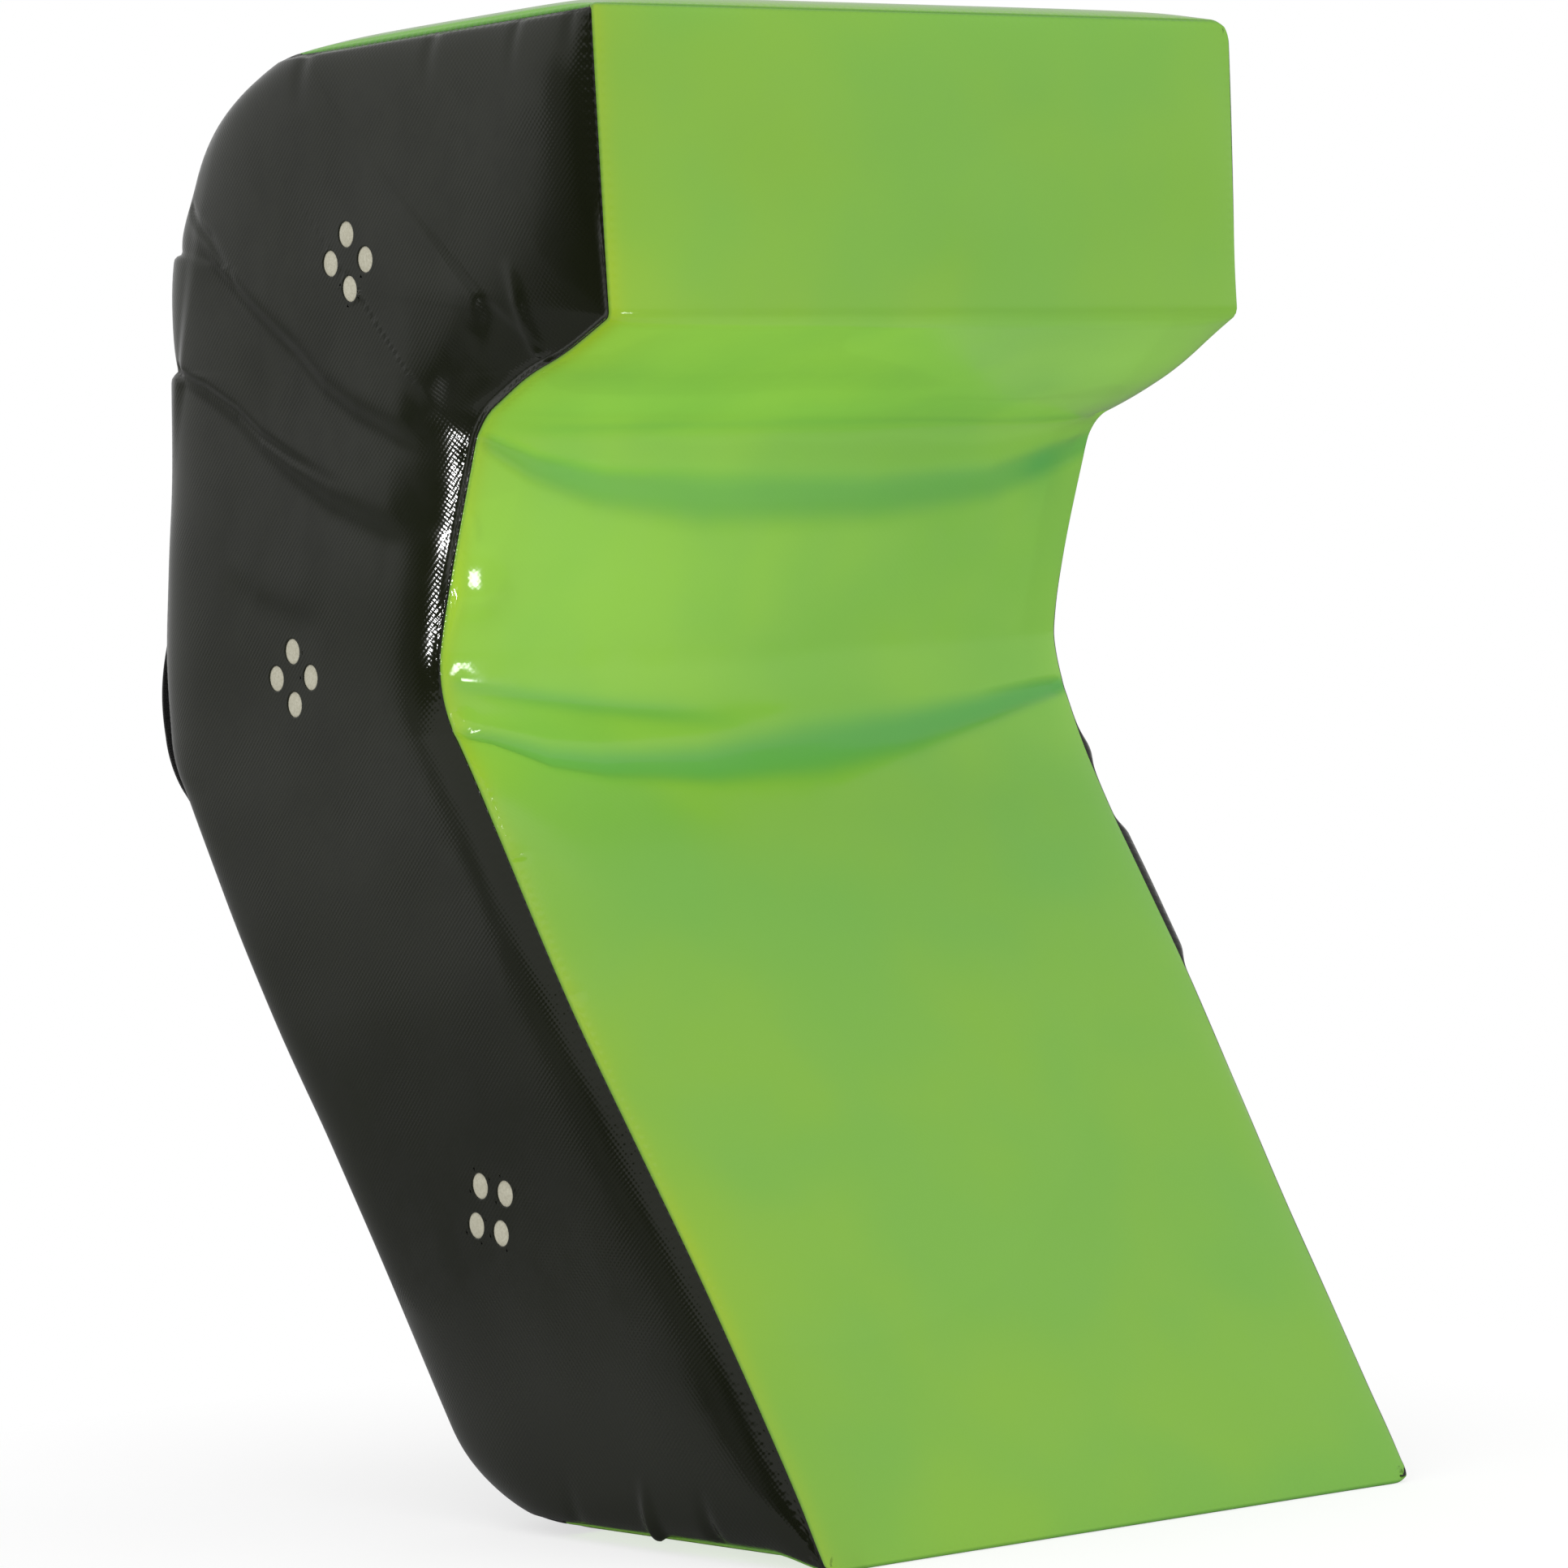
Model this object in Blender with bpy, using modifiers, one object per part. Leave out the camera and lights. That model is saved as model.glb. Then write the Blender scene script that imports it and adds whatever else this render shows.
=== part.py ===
"""Tackle wedge: a bent foam contact pad in a sewn vinyl cover, with arm straps and a back zip.

Metres. +X runs across the pad, +Y towards the person who holds it, +Z up.
The pad is drawn from its top front edge. An empty then carries it, so that the world
origin is the point between the two arm straps where the pad is held.
"""

import math

import bpy
import bmesh
import numpy as np
from mathutils import Matrix, Vector

# Side outline, seam to seam, from the top front edge down the front
PAD_WIDTH = 0.450
FOOT_WIDTH = 0.420
PAD_HEIGHT = 0.832
HEAD_FACE = 0.168
NOTCH_RUN = 0.126
NOTCH_DROP = 0.053
WAIST_RUN = 0.053
WAIST_DROP = 0.146
LEG_SLOPE = math.radians(33.0)
BASE_DEPTH = 0.300
BEND_DEPTH = 0.459
BEND_DROP = 0.404
HEAD_DEPTH = 0.418

# Rounding of the outline's corners
BROW_RADIUS = 0.005
NOTCH_RADIUS = 0.035
WAIST_RADIUS = 0.050
HEAD_RADIUS = 0.150
BEND_RADIUS = 0.040
HEEL_RADIUS = 0.121

# Cover sheet, the clearance that every piece keeps to its neighbour, and the core's slack inside
SKIN = 0.0008
GAP = 0.0003
CORE_SLACK = 0.0007

# How far the filled faces stand out of their seams, and how soon
SIDE_CROWN = 0.012
FRONT_CROWN = 0.006
BACK_CROWN = 0.005
TOP_CROWN = 0.009
ROLL_REACH = 0.018
TOP_FADE = 0.020
HEAD_FADE = 0.060
HEEL_FADE = 0.110

# Two folds across the waist, each a crescent that sags in the middle of the pad
FOLD_DEPTH = 0.007
FOLD_HALF_WIDTH = 0.017
FOLD_SAG = 0.040
UPPER_FOLD = 0.318
LOWER_FOLD = 0.492

# Two puckers in the upper back, where the sheet folds over the head's curve
PUCKER_DEPTH = 0.008
PUCKER_HALF_WIDTH = 0.010
UPPER_PUCKER = 0.186
LOWER_PUCKER = 0.258
CREASE_DEPTH = 0.004
CREASE_HALF_WIDTH = 0.012
CREASE_LENGTH = 0.110
CREASE_SLOPE = math.radians(52.0)

# Vents punched through each side, in three groups of four: centres from the top front edge
VENT_RADIUS = 0.0073
VENT_SPREAD_LONG = 0.0175
VENT_SPREAD_SHORT = 0.0152
TOP_VENTS = (0.224, -0.123)
WAIST_VENTS = (0.310, -0.355)
LEG_VENTS = (0.143, -0.652)
VENT_CUT = 0.060

# Arm straps, from the head seam along the back
STRAP_WIDTH = 0.050
STRAP_THICKNESS = 0.0024
STRAP_INSET = 0.006
STRAP_START = 0.360
STRAP_ANCHOR = 0.040
STRAP_SPAN = 0.139
STRAP_LIFT = 0.0125
STRAP_STEP = 0.010
PATCH_MARGIN = 0.004

# Zip: its start and length along the back, moulded teeth, tapes and the slot between the lower back panels
ZIP_START_SHARE = 0.520444
ZIP_LENGTH_SHARE = 0.316998
ZIP_SLOT = 0.0180
SLOT_TAPER = 0.012
TOOTH_PITCH = 0.005
TOOTH_HEAD = 0.0020
TOOTH_NECK = 0.0015
TOOTH_REACH = 0.0013
TOOTH_THICKNESS = 0.0026
SPINE_THICKNESS = 0.0018
ROW_OUTER = 0.0045
TAPE_THICKNESS = 0.0006
TAPE_WIDTH = 0.0130
TAPE_END = 0.012

# Zip slider, pull and stops
SLIDER_LENGTH = 0.017
SLIDER_NARROW = 0.0058
SLIDER_WIDE = 0.0078
SLIDER_PLATE = 0.0013
SLIDER_LIP = 0.0009
LIP_WIDTH = 0.0012
LIP_SETBACK = 0.0002
POST_LENGTH = 0.0045
POST_WIDTH = 0.0030
ARCH_WIDTH = 0.0022
ARCH_LENGTH = 0.0100
ARCH_WALL = 0.0012
ARCH_BEVEL = 0.0008
PULL_LENGTH = 0.034
PULL_WIDTH = 0.0100
PULL_THICKNESS = 0.0016
PULL_EYE_WIDTH = 0.0054
PULL_EYE_LENGTH = 0.0070
PULL_HOLE_RADIUS = 0.0022
STOP_LENGTH = 0.004
CHANNEL_OVERRUN = 0.004

# How finely the formed faces are drawn
EDGE_STEPS = (0.0, 0.006, 0.020, 0.056, 0.120)
SIDE_STEPS = (0.0, 0.008, 0.022, 0.050)
END_STEP = 0.012
STATION_STEP = 0.100
STATION_TURN = math.radians(18.0)
STATION_MERGE = 0.008
ROUND_SIDES = 12
DRAWING_SCALE = 1000.0
WELD = 0.000003

GREEN = (0.254, 0.527, 0.076)
BLACK = (0.030, 0.032, 0.027)
WEB_BLACK = (0.012, 0.012, 0.011)
CREAM = (0.610, 0.597, 0.468)
ZIP_BLACK = (0.016, 0.016, 0.016)
STEEL = (0.420, 0.420, 0.430)


class Outline:
    """Lines and arcs through a row of corners. Each inner corner is rounded by its own radius."""

    def __init__(self, corners, radii):
        corners = [np.array(corner, float) for corner in corners]
        self.runs = []
        here = corners[0]
        for before, corner, after, radius in zip(corners, corners[1:], corners[2:], radii):
            into = (corner - before) / np.linalg.norm(corner - before)
            out = (after - corner) / np.linalg.norm(after - corner)
            turn = math.atan2(into[0] * out[1] - into[1] * out[0], into @ out)
            reach = radius * math.tan(abs(turn) / 2)
            start = corner - into * reach
            self.runs.append(("line", here, start, np.linalg.norm(start - here)))
            side = math.copysign(1, turn)
            centre = start + side * radius * np.array([-into[1], into[0]])
            self.runs.append(("arc", centre, (start, turn), radius * abs(turn)))
            here = corner + out * reach
        self.runs.append(("line", here, corners[-1], np.linalg.norm(corners[-1] - here)))
        self.length = sum(run[3] for run in self.runs)

    def breaks(self):
        """Distances at which one run ends and the next begins."""
        return np.concatenate([[0.0], np.cumsum([run[3] for run in self.runs])])

    def at(self, distance):
        """The point and the direction of travel at a distance along the outline."""
        left = min(max(distance, 0.0), self.length)
        for kind, first, second, length in self.runs:
            if left <= length or (kind, length) == (self.runs[-1][0], self.runs[-1][3]):
                break
            left -= length
        if kind == "line":
            way = (second - first) / length
            return first + way * left, way
        start, turn = second
        angle = turn * left / length
        arm = turned(start - first, angle)
        way = turned(start - first, angle + math.copysign(math.pi / 2, turn))
        return first + arm, way / np.linalg.norm(way)

    def corners_to_draw(self):
        """The breaks, with long lines and wide arcs cut into shorter steps."""
        marks = []
        start = 0.0
        for kind, _, second, length in self.runs:
            if kind == "line":
                count = max(1, math.ceil(length / STATION_STEP))
            else:
                count = max(2, math.ceil(abs(second[1]) / STATION_TURN))
                count = min(count, max(2, math.ceil(length / STATION_MERGE)))
            marks += [start + length * step / count for step in range(count)]
            start += length
        return marks + [start]


def turned(vector, angle):
    """A vector of the side view, turned anticlockwise."""
    cosine, sine = math.cos(angle), math.sin(angle)
    return np.array([cosine * vector[0] - sine * vector[1], sine * vector[0] + cosine * vector[1]])


def front_corners():
    """Top edge, brow, notch, waist and toe, as (y, z)."""
    brow = (0.0, -HEAD_FACE)
    notch = (NOTCH_RUN, -HEAD_FACE - NOTCH_DROP)
    waist = (notch[0] + WAIST_RUN, notch[1] - WAIST_DROP)
    toe = (waist[0] - (PAD_HEIGHT + waist[1]) * math.tan(LEG_SLOPE), -PAD_HEIGHT)
    return [(0.0, 0.0), brow, notch, waist, toe]


def back_corners():
    """Top front edge, head corner, bend, heel and toe, as (y, z)."""
    toe = front_corners()[-1]
    heel = (toe[0] + BASE_DEPTH, -PAD_HEIGHT)
    return [(0.0, 0.0), (HEAD_DEPTH, 0.0), (BEND_DEPTH, -BEND_DROP), heel, toe]


FRONT = Outline(front_corners(), (BROW_RADIUS, NOTCH_RADIUS, WAIST_RADIUS))
AROUND = Outline(back_corners(), (HEAD_RADIUS, BEND_RADIUS, HEEL_RADIUS))
TOP_LINE = AROUND.runs[0][3]
BASE_LINE = AROUND.runs[-1][3]
BACK_LENGTH = AROUND.length - TOP_LINE - BASE_LINE
ZIP_START = ZIP_START_SHARE * BACK_LENGTH
ZIP_LENGTH = ZIP_LENGTH_SHARE * BACK_LENGTH


def back_at(distance):
    """Point and direction on the back outline, measured from the head seam."""
    return AROUND.at(TOP_LINE + distance)


def half_width(height):
    """Half the seam to seam width at a height, which narrows a little towards the foot."""
    return (FOOT_WIDTH + (PAD_WIDTH - FOOT_WIDTH) * (height + PAD_HEIGHT) / PAD_HEIGHT) / 2


def roll(distance):
    """The rise of a filled face from its seam: nothing at the seam, one well inside."""
    return 1 - math.exp(-max(distance, 0.0) / ROLL_REACH)


def ease(distance, reach):
    """A smooth step from nothing to one over a reach."""
    part = min(max(distance / reach, 0.0), 1.0)
    return part * part * (3 - 2 * part)


def bell(distance, half):
    """A smooth hump of height one."""
    return math.exp(-(distance / half) ** 2)


def across_roll(across):
    """The rise over the pad's width, from the seams at across = -1 and 1."""
    return roll((1 - abs(across)) * PAD_WIDTH / 2)


def thickness_at(share):
    """Distance through the pad, from the front outline to the back one."""
    return np.linalg.norm(back_at(share * BACK_LENGTH)[0] - FRONT.at(share * FRONT.length)[0])


def front_rise(across, share):
    """How far the front stands out of its outline: a crown, less the two waist folds."""
    down = share * FRONT.length
    crown = FRONT_CROWN * across_roll(across) * roll(down) * roll(FRONT.length - down)
    sag = FOLD_SAG * (1 - across * across)
    upper = bell(down - UPPER_FOLD - sag, FOLD_HALF_WIDTH)
    lower = bell(down - LOWER_FOLD - sag, FOLD_HALF_WIDTH)
    return crown - FOLD_DEPTH * (upper + lower) * across_roll(across)


def back_rise(across, share):
    """How far the back stands out: a crown, less the puckers over the head's curve."""
    along = share * BACK_LENGTH
    ends = ease(along, HEAD_FADE) * ease(BACK_LENGTH - along, HEEL_FADE)
    upper = bell(along - UPPER_PUCKER, PUCKER_HALF_WIDTH)
    lower = bell(along - LOWER_PUCKER, PUCKER_HALF_WIDTH)
    return BACK_CROWN * across_roll(across) * ends - PUCKER_DEPTH * (upper + lower)


def side_rise(point, through, share):
    """How far a side stands out: a crown, less a crease that runs in from each pucker."""
    thick = thickness_at(share)
    down = share * FRONT.length
    edges = roll(through * thick) * roll((1 - through) * thick)
    edges *= roll(down) * roll(FRONT.length - down)
    rise = SIDE_CROWN
    way = np.array([-math.cos(CREASE_SLOPE), -math.sin(CREASE_SLOPE)])
    for along in (UPPER_PUCKER, LOWER_PUCKER):
        offset = point - back_at(along)[0]
        run = offset @ way
        aside = offset[0] * way[1] - offset[1] * way[0]
        fade = ease(run, CREASE_HALF_WIDTH) * ease(CREASE_LENGTH - run, CREASE_LENGTH / 2)
        rise -= CREASE_DEPTH * bell(aside, CREASE_HALF_WIDTH) * fade
    return rise * edges


def outline_point(distance_point, way, side, rise):
    """A point of the side view, moved out of the pad by a rise. Side is -1 in front, 1 behind."""
    return distance_point + side * rise * np.array([-way[1], way[0]])


def front_yz(across, share, depth):
    """Front face of the pad, at a depth under the cover's outer surface."""
    point, way = FRONT.at(share * FRONT.length)
    return outline_point(point, way, -1, front_rise(across, share) - depth)


def back_yz(across, share, depth):
    """Back face of the pad, at a depth under the cover's outer surface."""
    point, way = back_at(share * BACK_LENGTH)
    return outline_point(point, way, 1, back_rise(across, share) - depth)


def pad_point(across, through, share, depth=0.0, inset=0.0):
    """A point of the pad: across from -1 to 1, through from front to back, share from top to base."""
    front = front_yz(across, share, depth)
    back = back_yz(across, share, depth)
    point = front + (back - front) * through
    crown = TOP_CROWN * across_roll(across) * roll(through * TOP_LINE) * roll((1 - through) * TOP_LINE)
    lift = crown * max(0.0, 1 - share * FRONT.length / TOP_FADE)
    swell = side_rise(point, through, share)
    wide = half_width(point[1]) - inset + swell
    return Vector((across * wide, point[0], point[1] + lift))


def across_samples():
    """Places across the pad, close together near the seams."""
    outer = [1 - 2 * step / PAD_WIDTH for step in EDGE_STEPS]
    return [-place for place in outer] + [0.0] + outer[::-1]


def through_samples(share):
    """Places from front to back, close together near the seams."""
    thick = thickness_at(share)
    near = [step / thick for step in SIDE_STEPS]
    return near + [0.5] + [1 - place for place in near[::-1]]


def core_shares():
    """Where the foam core starts, where its two glued joints lie, and where it ends."""
    marks = FRONT.breaks()
    notch, waist = (marks[3] + marks[4]) / 2, (marks[5] + marks[6]) / 2
    toe_inset = FOAM_DEPTH * (1 + math.sin(LEG_SLOPE)) / math.cos(LEG_SLOPE)
    return [mark / FRONT.length for mark in (FOAM_DEPTH, notch, waist, FRONT.length - toe_inset)]


def bend_share():
    """The share at the middle of the back's bend, where its upper and lower panels meet."""
    marks = AROUND.breaks()
    return ((marks[3] + marks[4]) / 2 - TOP_LINE) / BACK_LENGTH


def stations():
    """Shares of the pad's length at which every formed face is drawn."""
    end_share = END_STEP / FRONT.length
    kept = [0.0, end_share, *core_shares()[1:3], bend_share(), 1 - end_share, 1.0]
    marks = []
    for along in (UPPER_PUCKER, LOWER_PUCKER):
        marks += [(along + offset) / BACK_LENGTH for offset in (0.0, -PUCKER_HALF_WIDTH, PUCKER_HALF_WIDTH)]
    marks += [mark / FRONT.length for mark in FRONT.corners_to_draw()]
    marks += [(mark - TOP_LINE) / BACK_LENGTH for mark in AROUND.corners_to_draw()]
    for along in (ZIP_START - SLOT_TAPER, ZIP_START, ZIP_START + ZIP_LENGTH, ZIP_START + ZIP_LENGTH + SLOT_TAPER):
        marks.append(along / BACK_LENGTH)
    for along in (UPPER_FOLD, LOWER_FOLD):
        for offset in (0.0, FOLD_SAG / 2, FOLD_SAG, FOLD_SAG + FOLD_HALF_WIDTH):
            marks.append((along + offset) / FRONT.length)
    merge_share = STATION_MERGE / FRONT.length
    for mark in marks:
        if 0 < mark < 1 and min(abs(mark - other) for other in kept) > merge_share:
            kept.append(mark)
    return sorted(kept)


def between(low, high):
    """The stations from low to high, with both ends."""
    inner = [mark for mark in STATIONS if low + FRONT_GAP_SHARE < mark < high - FRONT_GAP_SHARE]
    return [low] + inner + [high]


FOAM_DEPTH = SKIN + CORE_SLACK
FOAM_INSET = FOAM_DEPTH + CORE_SLACK
EDGE = SKIN + GAP
STATIONS = stations()
BACK_GAP_SHARE = GAP / BACK_LENGTH
FRONT_GAP_SHARE = GAP / FRONT.length


def material(name, colour, roughness, metallic=0.0):
    """A plain finish in one colour."""
    finish = bpy.data.materials.get(name) or bpy.data.materials.new(name)
    finish.use_nodes = True
    shader = finish.node_tree.nodes["Principled BSDF"]
    shader.inputs["Base Color"].default_value = (*colour, 1.0)
    shader.inputs["Roughness"].default_value = roughness
    shader.inputs["Metallic"].default_value = metallic
    finish.diffuse_color = (*colour, 1.0)
    return finish


def green_vinyl():
    return material("green_vinyl", GREEN, 0.28)


def black_vinyl():
    return material("black_vinyl", BLACK, 0.30)


def foam():
    return material("foam", CREAM, 0.95)


def webbing():
    return material("webbing", WEB_BLACK, 0.80)


def zip_plastic():
    return material("zip_plastic", ZIP_BLACK, 0.40)


def zip_tape_cloth():
    return material("zip_tape_cloth", ZIP_BLACK, 0.85)


def zip_metal():
    return material("zip_metal", STEEL, 0.35, 1.0)


def new_object(name, mesh, finish, parent, collection=None):
    """An object in the pad's collection, carried by its parent."""
    made = bpy.data.objects.new(name, mesh)
    (collection or PARTS).objects.link(made)
    made.parent = parent
    if finish:
        mesh.materials.append(finish)
    return made


def sheet_mesh(name, rows, outward):
    """An open surface through rows of points, with its faces turned outward."""
    grid = bmesh.new()
    verts = [[grid.verts.new(point) for point in row] for row in rows]
    for upper, lower in zip(verts, verts[1:]):
        for corner in range(len(upper) - 1):
            grid.faces.new((upper[corner], upper[corner + 1], lower[corner + 1]))
            grid.faces.new((upper[corner], lower[corner + 1], lower[corner]))
    grid.normal_update()
    facing = sum((face.normal * face.calc_area() for face in grid.faces), Vector())
    if facing.dot(outward) < 0:
        bmesh.ops.reverse_faces(grid, faces=grid.faces)
    mesh = bpy.data.meshes.new(name)
    grid.to_mesh(mesh)
    grid.free()
    return mesh


def sheet(name, rows, outward, thickness, finish, parent):
    """A sheet of even thickness under an outer surface."""
    made = new_object(name, sheet_mesh(name, rows, outward), finish, parent)
    shell = made.modifiers.new("thickness", "SOLIDIFY")
    shell.thickness = thickness
    shell.offset = -1
    shell.use_even_offset = True
    return made


def foam_block(name, low, high):
    """A block of the core: a loft of crowned cross-sections between two shares of the length.

    Its faces are split along the same diagonals as the cover's, so the two stay parallel.
    """
    shares = between(low, high)
    acrosses = across_samples()
    block = bmesh.new()
    corners = {}

    def corner(i, j, k):
        if (i, j, k) not in corners:
            through = through_samples(shares[k])[j]
            place = pad_point(acrosses[i], through, shares[k], FOAM_DEPTH, FOAM_INSET)
            corners[(i, j, k)] = block.verts.new(place)
        return corners[(i, j, k)]

    def faces(places):
        first, second, third, fourth = [corner(*place) for place in places]
        block.faces.new((first, second, third))
        block.faces.new((first, third, fourth))

    last_i, last_j, last_k = len(acrosses) - 1, len(through_samples(low)) - 1, len(shares) - 1
    for i in range(last_i):
        for j in range(last_j):
            for k in (0, last_k):
                faces([(i, j, k), (i + 1, j, k), (i + 1, j + 1, k), (i, j + 1, k)])
    for k in range(last_k):
        for i in range(last_i):
            for j in (0, last_j):
                faces([(i, j, k), (i + 1, j, k), (i + 1, j, k + 1), (i, j, k + 1)])
        for j in range(last_j):
            for i in (0, last_i):
                faces([(i, j, k), (i, j + 1, k), (i, j + 1, k + 1), (i, j, k + 1)])
    bmesh.ops.recalc_face_normals(block, faces=block.faces)
    mesh = bpy.data.meshes.new(name)
    block.to_mesh(mesh)
    block.free()
    return new_object(name, mesh, foam(), PAD)


def foam_core():
    """Head, waist and leg blocks, glued where the front bends in and out of the waist."""
    top, notch, waist, base = core_shares()
    foam_block("foam_head_block", top, notch)
    foam_block("foam_waist_block", notch + FRONT_GAP_SHARE, waist)
    return foam_block("foam_leg_block", waist + FRONT_GAP_SHARE, base)


def front_panel():
    """The green strike face, from the top edge down over the waist to the toe."""
    end = 1 - SKIN * math.tan(LEG_SLOPE) / FRONT.length
    rows = [[pad_point(across, 0.0, share, 0.0, EDGE) for across in across_samples()]
            for share in between(0.0, end)]
    sheet("front_panel", rows, Vector((0, -1, 0)), SKIN, green_vinyl(), PAD)


def top_panel():
    """The green panel over the head, back to the seam where the head starts to curve."""
    throughs = [EDGE / TOP_LINE] + through_samples(0.0)[1:-1] + [1 - GAP / TOP_LINE]
    rows = [[pad_point(across, through, 0.0, 0.0, EDGE) for across in across_samples()]
            for through in throughs]
    sheet("top_panel", rows, Vector((0, 0, 1)), SKIN, green_vinyl(), PAD)


def base_panel():
    """The flat green panel that meets the ground, from the toe to the heel's curve."""
    toe = front_corners()[-1][0]
    setback = SKIN * math.tan(LEG_SLOPE) + (SKIN + GAP) / math.cos(LEG_SLOPE)
    near, far = toe + setback, back_at(BACK_LENGTH)[0][0] - GAP
    wide = half_width(-PAD_HEIGHT) - EDGE
    rows = [[Vector((across * wide, place, -PAD_HEIGHT)) for across in across_samples()]
            for place in (near, (near + far) / 2, far)]
    sheet("base_panel", rows, Vector((0, 0, -1)), SKIN, green_vinyl(), PAD)


def vent_centres():
    """The four vents of each group: a diamond on the head and waist, turned with the leg below."""
    spots = []
    for group, angle in ((TOP_VENTS, 0.0), (WAIST_VENTS, 0.0), (LEG_VENTS, -LEG_SLOPE)):
        for spread in ((VENT_SPREAD_LONG, 0.0), (0.0, VENT_SPREAD_SHORT)):
            for side in (-1, 1):
                spots.append(np.array(group) + side * turned(np.array(spread), angle))
    return spots


def vent_punch(name, side):
    """Twelve round cutters through one side of the cover."""
    punch = bmesh.new()
    for spot in vent_centres():
        middle = side * (half_width(spot[1]) + SIDE_CROWN / 2)
        place = Matrix.Translation((middle, spot[0], spot[1])) @ Matrix.Rotation(math.pi / 2, 4, "Y")
        bmesh.ops.create_cone(punch, cap_ends=True, segments=ROUND_SIDES, radius1=VENT_RADIUS,
                              radius2=VENT_RADIUS, depth=VENT_CUT, matrix=place)
    return cutter(name, punch, PAD)


def side_panel(name, side):
    """A black side of the cover, with its crown, creases and punched vents."""
    rows = [[pad_point(side, through, share) for through in through_samples(share)]
            for share in STATIONS]
    panel = sheet(name, rows, Vector((side, 0, 0)), SKIN, black_vinyl(), PAD)
    cut(panel, vent_punch(name + "_punch", side), "DIFFERENCE")


def back_panel_upper():
    """The black back of the head and waist, down to the seam across the bend."""
    rows = [[pad_point(across, 1.0, share, 0.0, EDGE) for across in across_samples()]
            for share in between(0.0, bend_share())]
    sheet("back_panel_upper", rows, Vector((0, 1, 0)), SKIN, black_vinyl(), PAD)


def slot_half(along):
    """Half the slot between the lower back panels: open along the zip, closed past its ends."""
    into = ease(along - ZIP_START + SLOT_TAPER, SLOT_TAPER)
    out = ease(ZIP_START + ZIP_LENGTH + SLOT_TAPER - along, SLOT_TAPER)
    return GAP / 2 + (ZIP_SLOT - GAP) / 2 * into * out


def back_panel_lower(name, side):
    """One half of the black back of the leg, from the bend round the heel to the base."""
    rows = []
    for share in between(bend_share() + BACK_GAP_SHARE, 1.0):
        inner = slot_half(share * BACK_LENGTH) / (PAD_WIDTH / 2)
        outer = [-side * place for place in across_samples()[:len(EDGE_STEPS)]]
        places = sorted(outer + [side * inner])
        rows.append([pad_point(across, 1.0, share, 0.0, EDGE) for across in places])
    sheet(name, rows, Vector((0, 1, -1)), SKIN, black_vinyl(), PAD)


def strap_places(side, margin):
    """Places across the pad under a strap, from a margin outside it to a margin inside it."""
    outer, inner = STRAP_INSET - margin, STRAP_INSET + STRAP_WIDTH + margin
    steps = [outer] + [step for step in EDGE_STEPS if outer < step < inner] + [inner]
    return sorted(side * (1 - 2 * step / PAD_WIDTH) for step in steps)


def strap_patch(name, side, start):
    """A vinyl patch between the back and one sewn end of a strap."""
    low = (start - PATCH_MARGIN) / BACK_LENGTH
    high = (start + STRAP_ANCHOR + PATCH_MARGIN) / BACK_LENGTH
    rows = [[pad_point(across, 1.0, share, -GAP - SKIN, EDGE) for across in strap_places(side, PATCH_MARGIN)]
            for share in between(low, high)]
    sheet(name, rows, Vector((0, 1, 0)), SKIN, black_vinyl(), PAD)


def strap_height(along):
    """How far a strap's inner face is lifted off its patches at a distance along the back."""
    into = along - STRAP_START - STRAP_ANCHOR
    if not 0 < into < STRAP_SPAN:
        return 0.0
    return STRAP_LIFT * math.sin(math.pi * into / STRAP_SPAN) ** 2


def arm_strap(name, side):
    """A webbing strap sewn flat at both ends and bowed over the bend between them."""
    length = 2 * STRAP_ANCHOR + STRAP_SPAN
    count = math.ceil(length / STRAP_STEP)
    rows = []
    for step in range(count + 1):
        along = STRAP_START + length * step / count
        height = 2 * GAP + SKIN + STRAP_THICKNESS + strap_height(along)
        rows.append([pad_point(across, 1.0, along / BACK_LENGTH, -height, EDGE)
                     for across in strap_places(side, 0.0)])
    sheet(name, rows, Vector((0, 1, 0)), STRAP_THICKNESS, webbing(), PAD)


def cutter(name, shape, parent):
    """A hidden solid that cuts or joins another."""
    mesh = bpy.data.meshes.new(name)
    shape.to_mesh(mesh)
    shape.free()
    tool = new_object(name, mesh, None, parent, TOOLS)
    tool.hide_render = True
    tool.display_type = "WIRE"
    return tool


def cut(target, tool, operation):
    """A Boolean with one hidden tool."""
    step = target.modifiers.new(tool.name, "BOOLEAN")
    step.operation = operation
    step.object = tool


def box(low, high):
    """A box between two corners."""
    shape = bmesh.new()
    bmesh.ops.create_cube(shape, size=1)
    for vert in shape.verts:
        vert.co = Vector([a + (b - a) * (part + 0.5) for a, b, part in zip(low, high, vert.co)])
    return shape


def box_object(name, low, high, finish, parent):
    """A box between two corners as a part."""
    shape = box(low, high)
    mesh = bpy.data.meshes.new(name)
    shape.to_mesh(mesh)
    shape.free()
    return new_object(name, mesh, finish, parent)


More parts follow.
